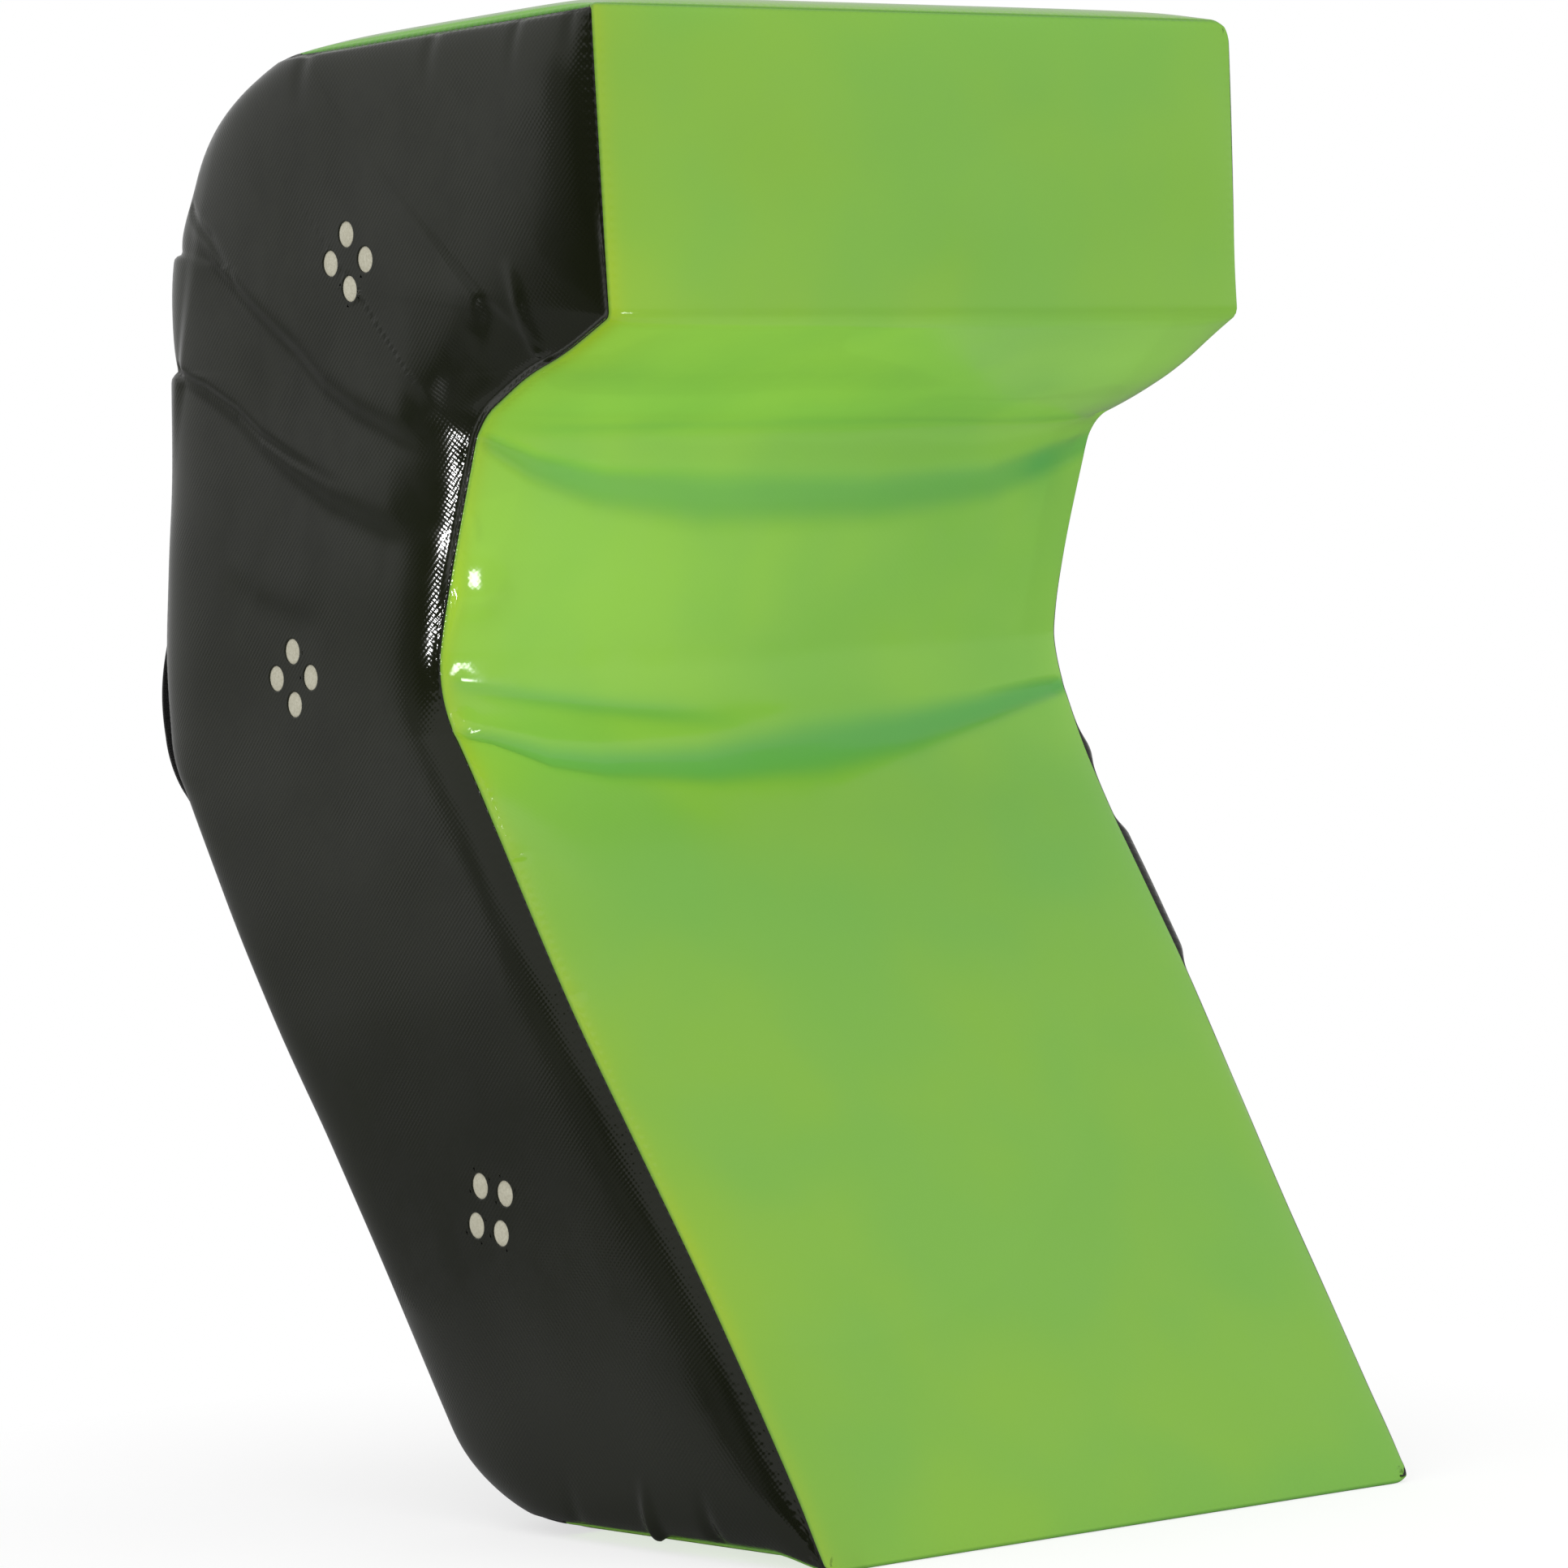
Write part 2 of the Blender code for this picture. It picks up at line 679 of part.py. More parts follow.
def plate_mesh(name, outline, low, high):
    """A flat plate: an outline of (x, t) points, thick from low to high along n.

    The outline is filled at DRAWING_SCALE, because the fill rounds off the finest teeth.
    """
    flat = bpy.data.curves.new(name, "CURVE")
    flat.dimensions = "2D"
    flat.fill_mode = "BOTH"
    flat.extrude = DRAWING_SCALE * (high - low) / 2
    line = flat.splines.new("POLY")
    line.points.add(len(outline) - 1)
    for point, (x, t) in zip(line.points, outline):
        point.co = (DRAWING_SCALE * x, DRAWING_SCALE * t, 0, 1)
    line.use_cyclic_u = True
    stand = bpy.data.objects.new(name, flat)
    TOOLS.objects.link(stand)
    mesh = bpy.data.meshes.new_from_object(stand.evaluated_get(bpy.context.evaluated_depsgraph_get()))
    bpy.data.objects.remove(stand)
    bpy.data.curves.remove(flat)
    weld = bmesh.new()
    weld.from_mesh(mesh)
    weld.transform(Matrix.Scale(1 / DRAWING_SCALE, 4))
    bmesh.ops.remove_doubles(weld, verts=weld.verts, dist=WELD)
    weld.transform(Matrix(((1, 0, 0, 0), (0, 0, -1, (low + high) / 2), (0, 1, 0, 0), (0, 0, 0, 1))))
    bmesh.ops.recalc_face_normals(weld, faces=weld.faces)
    weld.to_mesh(mesh)
    weld.free()
    mesh.name = name
    return mesh


def plate(name, outline, low, high, finish, parent):
    """A flat plate as a part."""
    return new_object(name, plate_mesh(name, outline, low, high), finish, parent)


def plate_tool(name, outline, low, high, parent):
    """A flat plate as a hidden tool."""
    tool = new_object(name, plate_mesh(name, outline, low, high), None, parent, TOOLS)
    tool.hide_render = True
    tool.display_type = "WIRE"
    return tool


def zip_line():
    """The zip's own frame at its lower end: x across, y out of the back, z up along the teeth."""
    along = ZIP_START + ZIP_LENGTH
    point, way = back_at(along)
    place = outline_point(point, way, 1, back_rise(0.0, along / BACK_LENGTH))
    line = bpy.data.objects.new("zip_line", None)
    PARTS.objects.link(line)
    line.parent = PAD
    line.location = (0, place[0], place[1])
    line.rotation_euler = (math.atan2(way[0], -way[1]), 0, 0)
    return line


TAPE_TOP = -SKIN - GAP
TAPE_FLOOR = TAPE_TOP - TAPE_THICKNESS
CHAIN = (TAPE_TOP + TAPE_FLOOR) / 2
SLIDER_BOTTOM = STOP_LENGTH + GAP
SLIDER_MIDDLE = SLIDER_BOTTOM + SLIDER_LENGTH / 2
ROW_START = SLIDER_BOTTOM + 2 * LIP_WIDTH + POST_LENGTH
ROW_END = ZIP_LENGTH - STOP_LENGTH - GAP
PLATE_FACE = TOOTH_THICKNESS / 2 + GAP
HINGE_HEIGHT = PLATE_FACE + SLIDER_PLATE + GAP + PULL_THICKNESS / 2


def zip_channels(leg):
    """Shallow channels where the foam gives way behind the tapes and the slider."""
    tape = ROW_OUTER + 2 * GAP + TAPE_WIDTH
    wide = box((-tape, TAPE_FLOOR - GAP, -TAPE_END - GAP),
               (tape, CHANNEL_OVERRUN, ZIP_LENGTH + TAPE_END + GAP))
    cut(leg, cutter("tape_channel", wide, ZIP), "DIFFERENCE")
    deep = CHAIN - PLATE_FACE - SLIDER_PLATE - GAP
    narrow = box((-SLIDER_WIDE - GAP, deep, -GAP), (SLIDER_WIDE + GAP, CHANNEL_OVERRUN, ZIP_LENGTH + GAP))
    cut(leg, cutter("slider_channel", narrow, ZIP), "DIFFERENCE")


def zip_tape(name, side):
    """A woven tape under the edge of a lower back panel."""
    near, far = sorted((side * (ROW_OUTER + GAP), side * (ROW_OUTER + GAP + TAPE_WIDTH)))
    box_object(name, (near, TAPE_FLOOR, -TAPE_END), (far, TAPE_TOP, ZIP_LENGTH + TAPE_END),
               zip_tape_cloth(), ZIP)


def zip_teeth(name, side):
    """One row of moulded teeth on its spine. Each head is wider than its neck, and the rows mesh."""
    first = ROW_START if side < 0 else ROW_START + TOOTH_PITCH / 2
    root = TOOTH_REACH + GAP
    near, far = sorted((side * root, side * ROW_OUTER))
    spine = box_object(name, (near, CHAIN - SPINE_THICKNESS / 2, ROW_START),
                       (far, CHAIN + SPINE_THICKNESS / 2, ROW_END), zip_plastic(), ZIP)
    seat = (root + ROW_OUTER) / 2
    middle = first + TOOTH_HEAD
    tooth = [(side * seat, middle - TOOTH_NECK / 2), (-side * TOOTH_REACH, middle - TOOTH_HEAD / 2),
             (-side * TOOTH_REACH, middle + TOOTH_HEAD / 2), (side * seat, middle + TOOTH_NECK / 2)]
    teeth = plate_tool(name + "_tooth", tooth, CHAIN - TOOTH_THICKNESS / 2, CHAIN + TOOTH_THICKNESS / 2, ZIP)
    repeat = teeth.modifiers.new("repeat", "ARRAY")
    repeat.count = int((ROW_END - middle - TOOTH_HEAD) / TOOTH_PITCH) + 1
    repeat.use_relative_offset = False
    repeat.use_constant_offset = True
    repeat.constant_offset_displace = (0, 0, TOOTH_PITCH)
    cut(spine, teeth, "UNION")


def zip_stop(name, start):
    """A moulded block that ends the teeth."""
    box_object(name, (-ROW_OUTER, CHAIN - TOOTH_THICKNESS / 2, start),
               (ROW_OUTER, CHAIN + TOOTH_THICKNESS / 2, start + STOP_LENGTH), zip_plastic(), ZIP)


def slider_side(side, inner, setback=0.0):
    """Half of the slider's outline, from its narrow top to its wide mouth."""
    end = SLIDER_LENGTH / 2
    return [(side * (SLIDER_NARROW - inner), end - setback), (side * (SLIDER_NARROW - inner), 0.0),
            (side * (SLIDER_WIDE - inner), -end / 2), (side * (SLIDER_WIDE - inner), setback - end)]


def zip_slider():
    """Two plates joined by a post, with lips round the teeth and an arch for the pull."""
    outline = slider_side(-1, 0.0) + slider_side(1, 0.0)[::-1]
    outer = PLATE_FACE + SLIDER_PLATE
    slider = plate("zip_slider", outline, PLATE_FACE, outer, zip_metal(), ZIP)
    slider.location = (0, CHAIN, SLIDER_MIDDLE)
    tools = [plate_tool("slider_inner_plate", outline, -outer, -PLATE_FACE, slider)]
    seat = PLATE_FACE + SLIDER_PLATE / 2
    for side, word in ((-1, "left"), (1, "right")):
        lip = slider_side(side, LIP_SETBACK, LIP_SETBACK) + slider_side(side, LIP_WIDTH, LIP_SETBACK)[::-1]
        for low, high, face in ((PLATE_FACE - SLIDER_LIP, seat, "outer"), (-seat, SLIDER_LIP - PLATE_FACE, "inner")):
            tools.append(plate_tool("slider_lip_" + face + "_" + word, lip, low, high, slider))
    foot = LIP_WIDTH - SLIDER_LENGTH / 2
    post = [(0.0, foot), (POST_WIDTH / 2, foot + POST_LENGTH / 3), (POST_WIDTH / 2, foot + 2 * POST_LENGTH / 3),
            (0.0, foot + POST_LENGTH), (-POST_WIDTH / 2, foot + 2 * POST_LENGTH / 3), (-POST_WIDTH / 2, foot + POST_LENGTH / 3)]
    tools.append(plate_tool("slider_post", post, -seat, seat, slider))
    tools.append(slider_arch(seat, slider))
    for tool in tools:
        cut(slider, tool, "UNION")
    return slider


def slider_arch(seat, slider):
    """The staple over the plate that the pull's pin turns under."""
    half = ARCH_LENGTH / 2
    inside = half - ARCH_WALL
    ceiling = HINGE_HEIGHT + PULL_THICKNESS / 2 + GAP
    crest = ceiling + ARCH_WALL
    slope = ARCH_BEVEL
    profile = [(-half, seat), (-half, crest - slope), (slope - half, crest), (half - slope, crest),
               (half, crest - slope), (half, seat), (inside, seat), (inside, ceiling),
               (-inside, ceiling), (-inside, seat)]
    arch = plate_tool("slider_arch", profile, -ARCH_WIDTH / 2, ARCH_WIDTH / 2, slider)
    arch.data.transform(Matrix(((0, 1, 0, 0), (0, 0, 1, 0), (1, 0, 0, 0), (0, 0, 0, 1))))
    return arch


def zip_pull(slider):
    """A flat tab with a forked head, hung from a pin under the slider's arch."""
    half, fork = PULL_WIDTH / 2, PULL_EYE_WIDTH / 2
    shoulder = PULL_LENGTH - half
    tip = [(half * math.cos(turn), -shoulder + half * math.sin(turn))
           for turn in (math.pi * step / ROUND_SIDES for step in range(0, -ROUND_SIDES - 1, -1))]
    outline = [(-fork, 0.0), (-fork, -PULL_EYE_LENGTH), (fork, -PULL_EYE_LENGTH), (fork, 0.0), (half, 0.0)]
    outline += tip + [(-half, 0.0)]
    pull = plate("zip_pull", outline, -PULL_THICKNESS / 2, PULL_THICKNESS / 2, zip_metal(), slider)
    pull.location = (0, HINGE_HEIGHT, 0)
    pull.rotation_euler = (-ZIP.rotation_euler.x, 0, 0)
    pin = bmesh.new()
    bmesh.ops.create_cone(pin, cap_ends=True, segments=ROUND_SIDES, radius1=PULL_THICKNESS / 2,
                          radius2=PULL_THICKNESS / 2, depth=PULL_WIDTH,
                          matrix=Matrix.Rotation(math.pi / 2, 4, "Y"))
    cut(pull, cutter("pull_pin", pin, pull), "UNION")
    hole = bmesh.new()
    place = Matrix.Translation((0, 0, -shoulder)) @ Matrix.Rotation(math.pi / 2, 4, "X")
    bmesh.ops.create_cone(hole, cap_ends=True, segments=ROUND_SIDES, radius1=PULL_HOLE_RADIUS,
                          radius2=PULL_HOLE_RADIUS, depth=2 * PULL_THICKNESS, matrix=place)
    cut(pull, cutter("pull_hole", hole, pull), "DIFFERENCE")
    return pull


def smooth(made):
    """Soft shading over a formed face, with its edges kept sharp."""
    made.data.shade_smooth()
    made.data.set_sharp_from_angle(angle=math.radians(40.0))


def hold_point():
    """The point on the back between the two straps, midway along their free span."""
    along = STRAP_START + STRAP_ANCHOR + STRAP_SPAN / 2
    point, way = back_at(along)
    return outline_point(point, way, 1, back_rise(0.0, along / BACK_LENGTH))


for old in list(bpy.data.objects):
    bpy.data.objects.remove(old)
PARTS = bpy.data.collections.new("tackle_wedge")
TOOLS = bpy.data.collections.new("tackle_wedge_tools")
bpy.context.scene.collection.children.link(PARTS)
bpy.context.scene.collection.children.link(TOOLS)
HOLD = hold_point()
PAD = bpy.data.objects.new("pad", None)
PARTS.objects.link(PAD)
PAD.location = (0, -HOLD[0], -HOLD[1])
ZIP = zip_line()

leg_block = foam_core()
zip_channels(leg_block)
top_panel()
front_panel()
base_panel()
back_panel_upper()
for hand, word in ((-1, "left"), (1, "right")):
    side_panel("side_panel_" + word, hand)
    back_panel_lower("back_panel_lower_" + word, hand)
    strap_patch("strap_patch_upper_" + word, hand, STRAP_START)
    strap_patch("strap_patch_lower_" + word, hand, STRAP_START + STRAP_ANCHOR + STRAP_SPAN)
    arm_strap("arm_strap_" + word, hand)
    zip_tape("zip_tape_" + word, hand)
    zip_teeth("zip_teeth_" + word, hand)
zip_stop("zip_stop_lower", 0.0)
zip_stop("zip_stop_upper", ZIP_LENGTH - STOP_LENGTH)
pull_tab = zip_pull(zip_slider())
for part in PARTS.objects:
    if part.type == "MESH":
        smooth(part)
bpy.context.view_layer.update()
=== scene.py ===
"""A tackle wedge: a bent foam pad in a glossy green and black cover, with webbing arm straps and a zip.

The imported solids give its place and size. Every cover panel here is a fine surface worked out over the same
two side-view lines as its solid, with the folds, seams, vents and weave of the real cover on it.
"""
import math

import bpy
import numpy as np
from mathutils import Matrix, Vector


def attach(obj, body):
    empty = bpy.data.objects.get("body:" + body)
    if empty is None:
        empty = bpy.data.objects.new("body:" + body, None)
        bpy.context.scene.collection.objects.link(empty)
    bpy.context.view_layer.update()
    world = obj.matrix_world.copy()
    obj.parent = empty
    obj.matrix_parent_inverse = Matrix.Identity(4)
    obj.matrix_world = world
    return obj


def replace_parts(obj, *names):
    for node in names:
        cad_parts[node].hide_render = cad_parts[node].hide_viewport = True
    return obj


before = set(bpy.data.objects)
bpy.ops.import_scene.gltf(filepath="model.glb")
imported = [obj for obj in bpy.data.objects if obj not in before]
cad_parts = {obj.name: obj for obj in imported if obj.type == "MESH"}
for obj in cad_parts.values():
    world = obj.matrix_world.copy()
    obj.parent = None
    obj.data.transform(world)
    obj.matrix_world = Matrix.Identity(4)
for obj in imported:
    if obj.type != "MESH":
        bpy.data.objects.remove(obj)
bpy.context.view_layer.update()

# The pad's side view, in metres: a straight head, a notch, a waist and a raked leg.
PAD_WIDTH = 0.450
FOOT_WIDTH = 0.420
PAD_HEIGHT = 0.832
HEAD_FACE = 0.168
NOTCH_RUN = 0.126
NOTCH_DROP = 0.053
WAIST_RUN = 0.053
WAIST_DROP = 0.146
LEG_SLOPE = math.radians(33.0)
BASE_DEPTH = 0.300
BEND_DEPTH = 0.459
BEND_DROP = 0.404
HEAD_DEPTH = 0.418
FRONT_RADII = (0.005, 0.035, 0.050)
BACK_RADII = (0.150, 0.040, 0.121)

# How the filled faces stand out of that outline.
SIDE_CROWN = 0.012
FRONT_CROWN = 0.006
BACK_CROWN = 0.005
TOP_CROWN = 0.009
ROLL_REACH = 0.018
TOP_FADE = 0.020
HEAD_FADE = 0.060
HEEL_FADE = 0.110
PUCKER_DEPTH = 0.0075
PUCKER_LEAD = 0.016
PUCKER_LIP = 0.0035
RIPPLE_HEIGHT = 0.0007
SIDE_RIPPLE_HEIGHT = 0.0004
DRAG_DEPTH = 0.0016
NOTCH_SINK = 0.0050
NOTCH_SINK_REACH = 0.036
BULGE_HEIGHT = 0.0085
UPPER_PUCKER = 0.186
LOWER_PUCKER = 0.258
CORNER_RADII = ((0.005, 0.004), (0.013, 0.010))
BASE_SEAM_LIFT = 0.006
TOE_SET = 0.0036

# How the filled front departs from its outline, in millimetres: the place down in metres, how far the face
# is sunk at its left and at its right edge, and how much wider the pad is on each side.
FRONT_SHAPE = ((0.00, 0, 0, 3.4), (0.15, 0, 0, 3.4), (0.19, 0, -3, 3), (0.22, 1, -7, 2), (0.25, 6, -7, 1),
               (0.28, 5, -5, 0), (0.31, 4, -1, 0), (0.35, 6.5, 0, 0), (0.38, 8, 0, 0), (0.42, 9, -2, 0),
               (0.445, 7.5, -8, 0), (0.46, 5, -12, 0), (0.48, 3, -9, 1), (0.51, 1.5, -3, 2),
               (0.56, 1, 0, 3.5), (0.62, 1, 0, 5), (0.67, 1, -1, 5), (0.72, 0, -1, 3.5), (0.77, -1, -1, 2),
               (0.83, -3, 0, 1), (0.90, -4, 0, 1), (0.96, -3, 0, 0), (1.00, 0, 0, 0))

# The same for the back: the place along it, and how far it is sunk beside the side seams.
BACK_SHAPE = ((0.0, 0), (0.03, 6), (0.06, 8), (0.105, 8), (0.13, 10), (0.155, 13), (0.178, 5), (0.20, 4),
              (0.23, 2.5), (0.27, 0), (0.33, -1), (0.36, -4), (0.39, -6), (0.42, -8), (0.44, -7.5),
              (0.46, -5), (0.48, -2), (0.50, 2), (0.53, 1), (0.60, -1), (0.68, 0), (0.74, 2), (0.82, 1),
              (0.90, 0), (1.00, 0))

# The folds of the front, as places (across, metres down).
UPPER_BAND = ((-0.99, 0.309), (-0.82, 0.325), (-0.60, 0.338), (-0.25, 0.346), (0.28, 0.347), (0.67, 0.340),
              (0.86, 0.327), (1.01, 0.318))
UPPER_BAND_HALVES = (0.003, 0.007, 0.011, 0.015, 0.013, 0.011, 0.009, 0.007)
LOWER_BAND = ((-0.99, 0.477), (-0.90, 0.484), (-0.75, 0.500), (-0.60, 0.507), (-0.27, 0.511), (0.09, 0.505),
              (0.38, 0.499), (0.68, 0.489), (0.98, 0.475))
LOWER_BAND_HALVES = (0.003, 0.004, 0.007, 0.009, 0.013, 0.018, 0.014, 0.009, 0.006)
LOWER_WEDGE = ((-0.99, 0.449), (-0.78, 0.458), (-0.59, 0.466), (-0.26, 0.478), (0.0, 0.490))
UPPER_BAND_DEPTH = 0.0030
LOWER_BAND_DEPTH = 0.0040
LOWER_WEDGE_DEPTH = 0.0016
NOTCH_LINE = ((-0.98, 0.303), (0.0, 0.294), (0.96, 0.285))

# Small marks off the front's left seam: how high, the path from the seam and down, its half widths and how
# soon it dies away at its ends. Then single spots: how high, the place, and how far they reach.
FRONT_DENTS = ((0.0045, ((0.001, 0.403), (0.050, 0.399)), 0.0170, 0.0120, 0.03, 0.7),
               (0.0008, ((0.004, 0.350), (0.012, 0.372)), 0.0022, 0.0022, 0.3, 0.3),
               (-0.0012, ((0.0, 0.562), (0.014, 0.560)), 0.0018, 0.0030, 0.1, 0.6),
               (-0.0012, ((0.0, 0.650), (0.012, 0.651)), 0.0020, 0.0030, 0.1, 0.6))
FRONT_SPOTS = ((0.0016, (-0.216, 0.472), (0.0065, 0.0078)), (-0.0016, (0.219, 0.290), (0.006, 0.006)))

# The drag folds of the back, as places (metres across, metres down the back).
BACK_FOLDS = (((-0.166, 0.352), (-0.120, 0.325), (-0.060, 0.316)),
              ((-0.170, 0.404), (-0.128, 0.420), (-0.085, 0.428)),
              ((0.164, 0.356), (0.125, 0.338), (0.070, 0.330)),
              ((0.168, 0.398), (0.120, 0.405), (0.075, 0.402)),
              ((-0.168, 0.548), (-0.140, 0.520), (-0.120, 0.485)),
              ((0.166, 0.552), (0.145, 0.522), (0.128, 0.490)),
              ((-0.166, 0.590), (-0.120, 0.632), (-0.095, 0.690)),
              ((0.165, 0.594), (0.128, 0.640), (0.108, 0.700)))

# The folds of the side, as places (y, z) in the side view, each walked from the back forwards.
UPPER_CREASE = ((0.392, -0.078), (0.387, -0.084), (0.362, -0.101), (0.346, -0.118), (0.339, -0.128),
                (0.323, -0.140))
LOWER_CREASE = ((0.422, -0.170), (0.415, -0.175), (0.381, -0.186), (0.351, -0.200), (0.327, -0.216),
                (0.298, -0.229), (0.261, -0.243), (0.228, -0.251))
UPPER_SLUMP = ((0.400, -0.085), (0.346, -0.126), (0.323, -0.142), (0.283, -0.169), (0.258, -0.190),
               (0.230, -0.205), (0.196, -0.218), (0.160, -0.232))
LOWER_SLUMP = ((0.420, -0.174), (0.381, -0.189), (0.351, -0.204), (0.327, -0.221), (0.299, -0.237),
               (0.262, -0.255), (0.225, -0.267), (0.180, -0.280))
WAIST_SLUMP = ((0.380, -0.284), (0.343, -0.307), (0.308, -0.316), (0.270, -0.324))
BROW_RIDGE = ((0.078, -0.128), (0.072, -0.150), (0.070, -0.170), (0.068, -0.190))
SECOND_RIDGE = ((0.101, -0.144), (0.109, -0.165), (0.123, -0.183))
FLAME_EDGE = ((0.169, -0.214), (0.156, -0.206), (0.146, -0.192), (0.134, -0.181), (0.116, -0.170),
              (0.097, -0.148))
BROW_STREAK = ((0.072, -0.166), (0.066, -0.186))
NOTCH_SEAM = ((0.0, -0.150), (0.0, -0.168), (0.057, -0.186), (0.100, -0.206), (0.126, -0.234),
              (0.150, -0.280))

# What each of those paths does: how high it stands, its half widths at the two ends, a slump's reach, and
# how soon it dies away at the two ends.
SIDE_FOLDS = ((-0.0016, UPPER_CREASE, 0.0026, 0.0035, 0.04, 0.5),
              (-0.0020, LOWER_CREASE, 0.0026, 0.0040, 0.03, 0.6),
              (0.0018, BROW_RIDGE, 0.0055, 0.0040, 0.5, 0.1),
              (0.0012, SECOND_RIDGE, 0.0055, 0.0060, 0.4, 0.4),
              (-0.0010, BROW_STREAK, 0.0018, 0.0024, 0.3, 0.3))
SIDE_SLUMPS = ((0.0072, UPPER_SLUMP, 0.0060, 0.0090, 0.018, 0.25, 0.12),
               (0.0062, LOWER_SLUMP, 0.0035, 0.0120, 0.026, 0.05, 0.12),
               (0.0052, FLAME_EDGE, 0.0085, 0.0060, 0.030, 0.20, 0.08),
               (0.0020, WAIST_SLUMP, 0.0100, 0.0120, 0.030, 0.30, 0.30))

# Gathers below the top seam and puckers over the base seam: the place from front to back, how high, and how
# wide.
GATHERS = ((0.264, -0.0012, 0.007), (0.140, -0.0009, 0.006), (0.063, -0.0009, 0.005), (0.016, -0.0012, 0.005))
BASE_PUCKERS = ((0.016, 0.0045, 0.0045), (-0.035, -0.0030, 0.0055), (0.085, -0.0010, 0.007))

# The cover's cloth: its seams' rolled edges and the cut edges tucked behind them.
SKIN = 0.0008
GAP = 0.0003
SEAM_RADIUS = 0.0017
TUCK = 0.0030
TUCK_LEAN = 0.0022
CORNER_REACH = 0.010
CLOTH_STEP = 0.0022
SIDE_SPAN = 0.42
SEAM_STEPS = (0.0, 0.00008, 0.0003, 0.0006, 0.0010, 0.0014, 0.0019, 0.0026, 0.0036, 0.0050)

# The vents: how wide each is, how far the four of a group stand from its middle, how far past a vent the
# cover's grid gives way to its rings, and each group's middle (y, z) and turn.
VENT_RADIUS = 0.0073
VENT_SPREAD_LONG = 0.0175
VENT_SPREAD_SHORT = 0.0152
VENT_MARGIN = 0.0028
VENT_GROUPS = ((0.224, -0.123, 0.0), (0.310, -0.355, 0.0), (0.143, -0.652, -LEG_SLOPE))

# The rings of a vent's rim, from the outside in: how far past its radius, and how far out of the cover.
VENT_RINGS = ((0.0012, 0.0), (0.0004, 0.00002), (0.0001, -0.00006), (0.0, -0.0003), (0.0, -0.0008),
              (0.0003, -0.0016))

# The arm straps: their section, where they run, and the margin of the patches under them.
STRAP_WIDTH = 0.050
STRAP_THICKNESS = 0.0024
STRAP_INSET = 0.006
STRAP_START = 0.360
STRAP_ANCHOR = 0.040
STRAP_SPAN = 0.139
STRAP_LIFT = 0.0125
PATCH_MARGIN = 0.004

# The zip: its start and length as shares of the back, and its slot's width and tapered ends.
ZIP_START_SHARE = 0.520444
ZIP_LENGTH_SHARE = 0.316998
ZIP_SLOT = 0.018
SLOT_TAPER = 0.012


def unit(vectors):
    """Vectors made one long."""
    return vectors / np.linalg.norm(vectors, axis=-1, keepdims=True)


def distances(path):
    """How far along a path each of its points lies."""
    return np.concatenate(([0.0], np.cumsum(np.linalg.norm(np.diff(path, axis=0), axis=1))))


def turned(vector, angle):
    """A side-view vector turned anticlockwise by an angle or an array of angles."""
    cosine, sine = np.cos(angle), np.sin(angle)
    return np.stack((cosine * vector[0] - sine * vector[1], sine * vector[0] + cosine * vector[1]), -1)


class Outline:
    """Straight runs joined by round arcs, walked by distance along them."""

    def __init__(self, corners, radii):
        corners = [np.array(corner, float) for corner in corners]
        self.runs = []
        here = corners[0]
        for before, corner, after, radius in zip(corners, corners[1:], corners[2:], radii):
            into, out = unit(corner - before), unit(after - corner)
            turn = math.atan2(into[0] * out[1] - into[1] * out[0], into @ out)
            reach = radius * math.tan(abs(turn) / 2)
            start = corner - into * reach
            self.runs.append(("line", here, start, np.linalg.norm(start - here)))
            centre = start + math.copysign(radius, turn) * np.array([-into[1], into[0]])
            self.runs.append(("arc", centre, (start, turn), radius * abs(turn)))
            here = corner + out * reach
        self.runs.append(("line", here, corners[-1], np.linalg.norm(corners[-1] - here)))
        self.length = sum(run[3] for run in self.runs)

    def at(self, distance):
        """Points and directions of travel at an array of distances: start + way * run on a line, or the arm
        from an arc's centre turned by its share of the arc's angle."""
        distance = np.clip(np.asarray(distance, float), 0.0, self.length)
        point = np.zeros(distance.shape + (2,))
        way = np.zeros(distance.shape + (2,))
        start = 0.0
        for kind, first, second, length in self.runs:
            inside = (distance >= start) & (distance <= start + length + 1e-9)
            left = distance[inside] - start
            if kind == "line":
                step = (second - first) / length
                point[inside] = first + left[:, None] * step
                way[inside] = step
            else:
                begin, turn = second
                angle = turn * left / length
                point[inside] = first + turned(begin - first, angle)
                way[inside] = unit(turned(begin - first, angle + math.copysign(math.pi / 2, turn)))
            start += length
        return point, way


def front_corners():
    """Top edge, brow, notch, waist and toe, as (y, z) from the top front edge."""
    notch = (NOTCH_RUN, -HEAD_FACE - NOTCH_DROP)
    waist = (notch[0] + WAIST_RUN, notch[1] - WAIST_DROP)
    toe = (waist[0] - (PAD_HEIGHT + waist[1]) * math.tan(LEG_SLOPE), -PAD_HEIGHT)
    return [(0.0, 0.0), (0.0, -HEAD_FACE), notch, waist, toe]


def back_corners():
    """Top front edge, head corner, bend, heel and toe, as (y, z)."""
    toe = front_corners()[-1]
    return [(0.0, 0.0), (HEAD_DEPTH, 0.0), (BEND_DEPTH, -BEND_DROP), (toe[0] + BASE_DEPTH, -PAD_HEIGHT), toe]


FRONT = Outline(front_corners(), FRONT_RADII)
AROUND = Outline(back_corners(), BACK_RADII)
TOP_LINE = AROUND.runs[0][3]
BASE_LINE = AROUND.runs[-1][3]
BACK_LENGTH = AROUND.length - TOP_LINE - BASE_LINE
BEND_AT = sum(run[3] for run in AROUND.runs[1:3]) + AROUND.runs[3][3] / 2
ZIP_START = ZIP_START_SHARE * BACK_LENGTH
ZIP_LENGTH = ZIP_LENGTH_SHARE * BACK_LENGTH


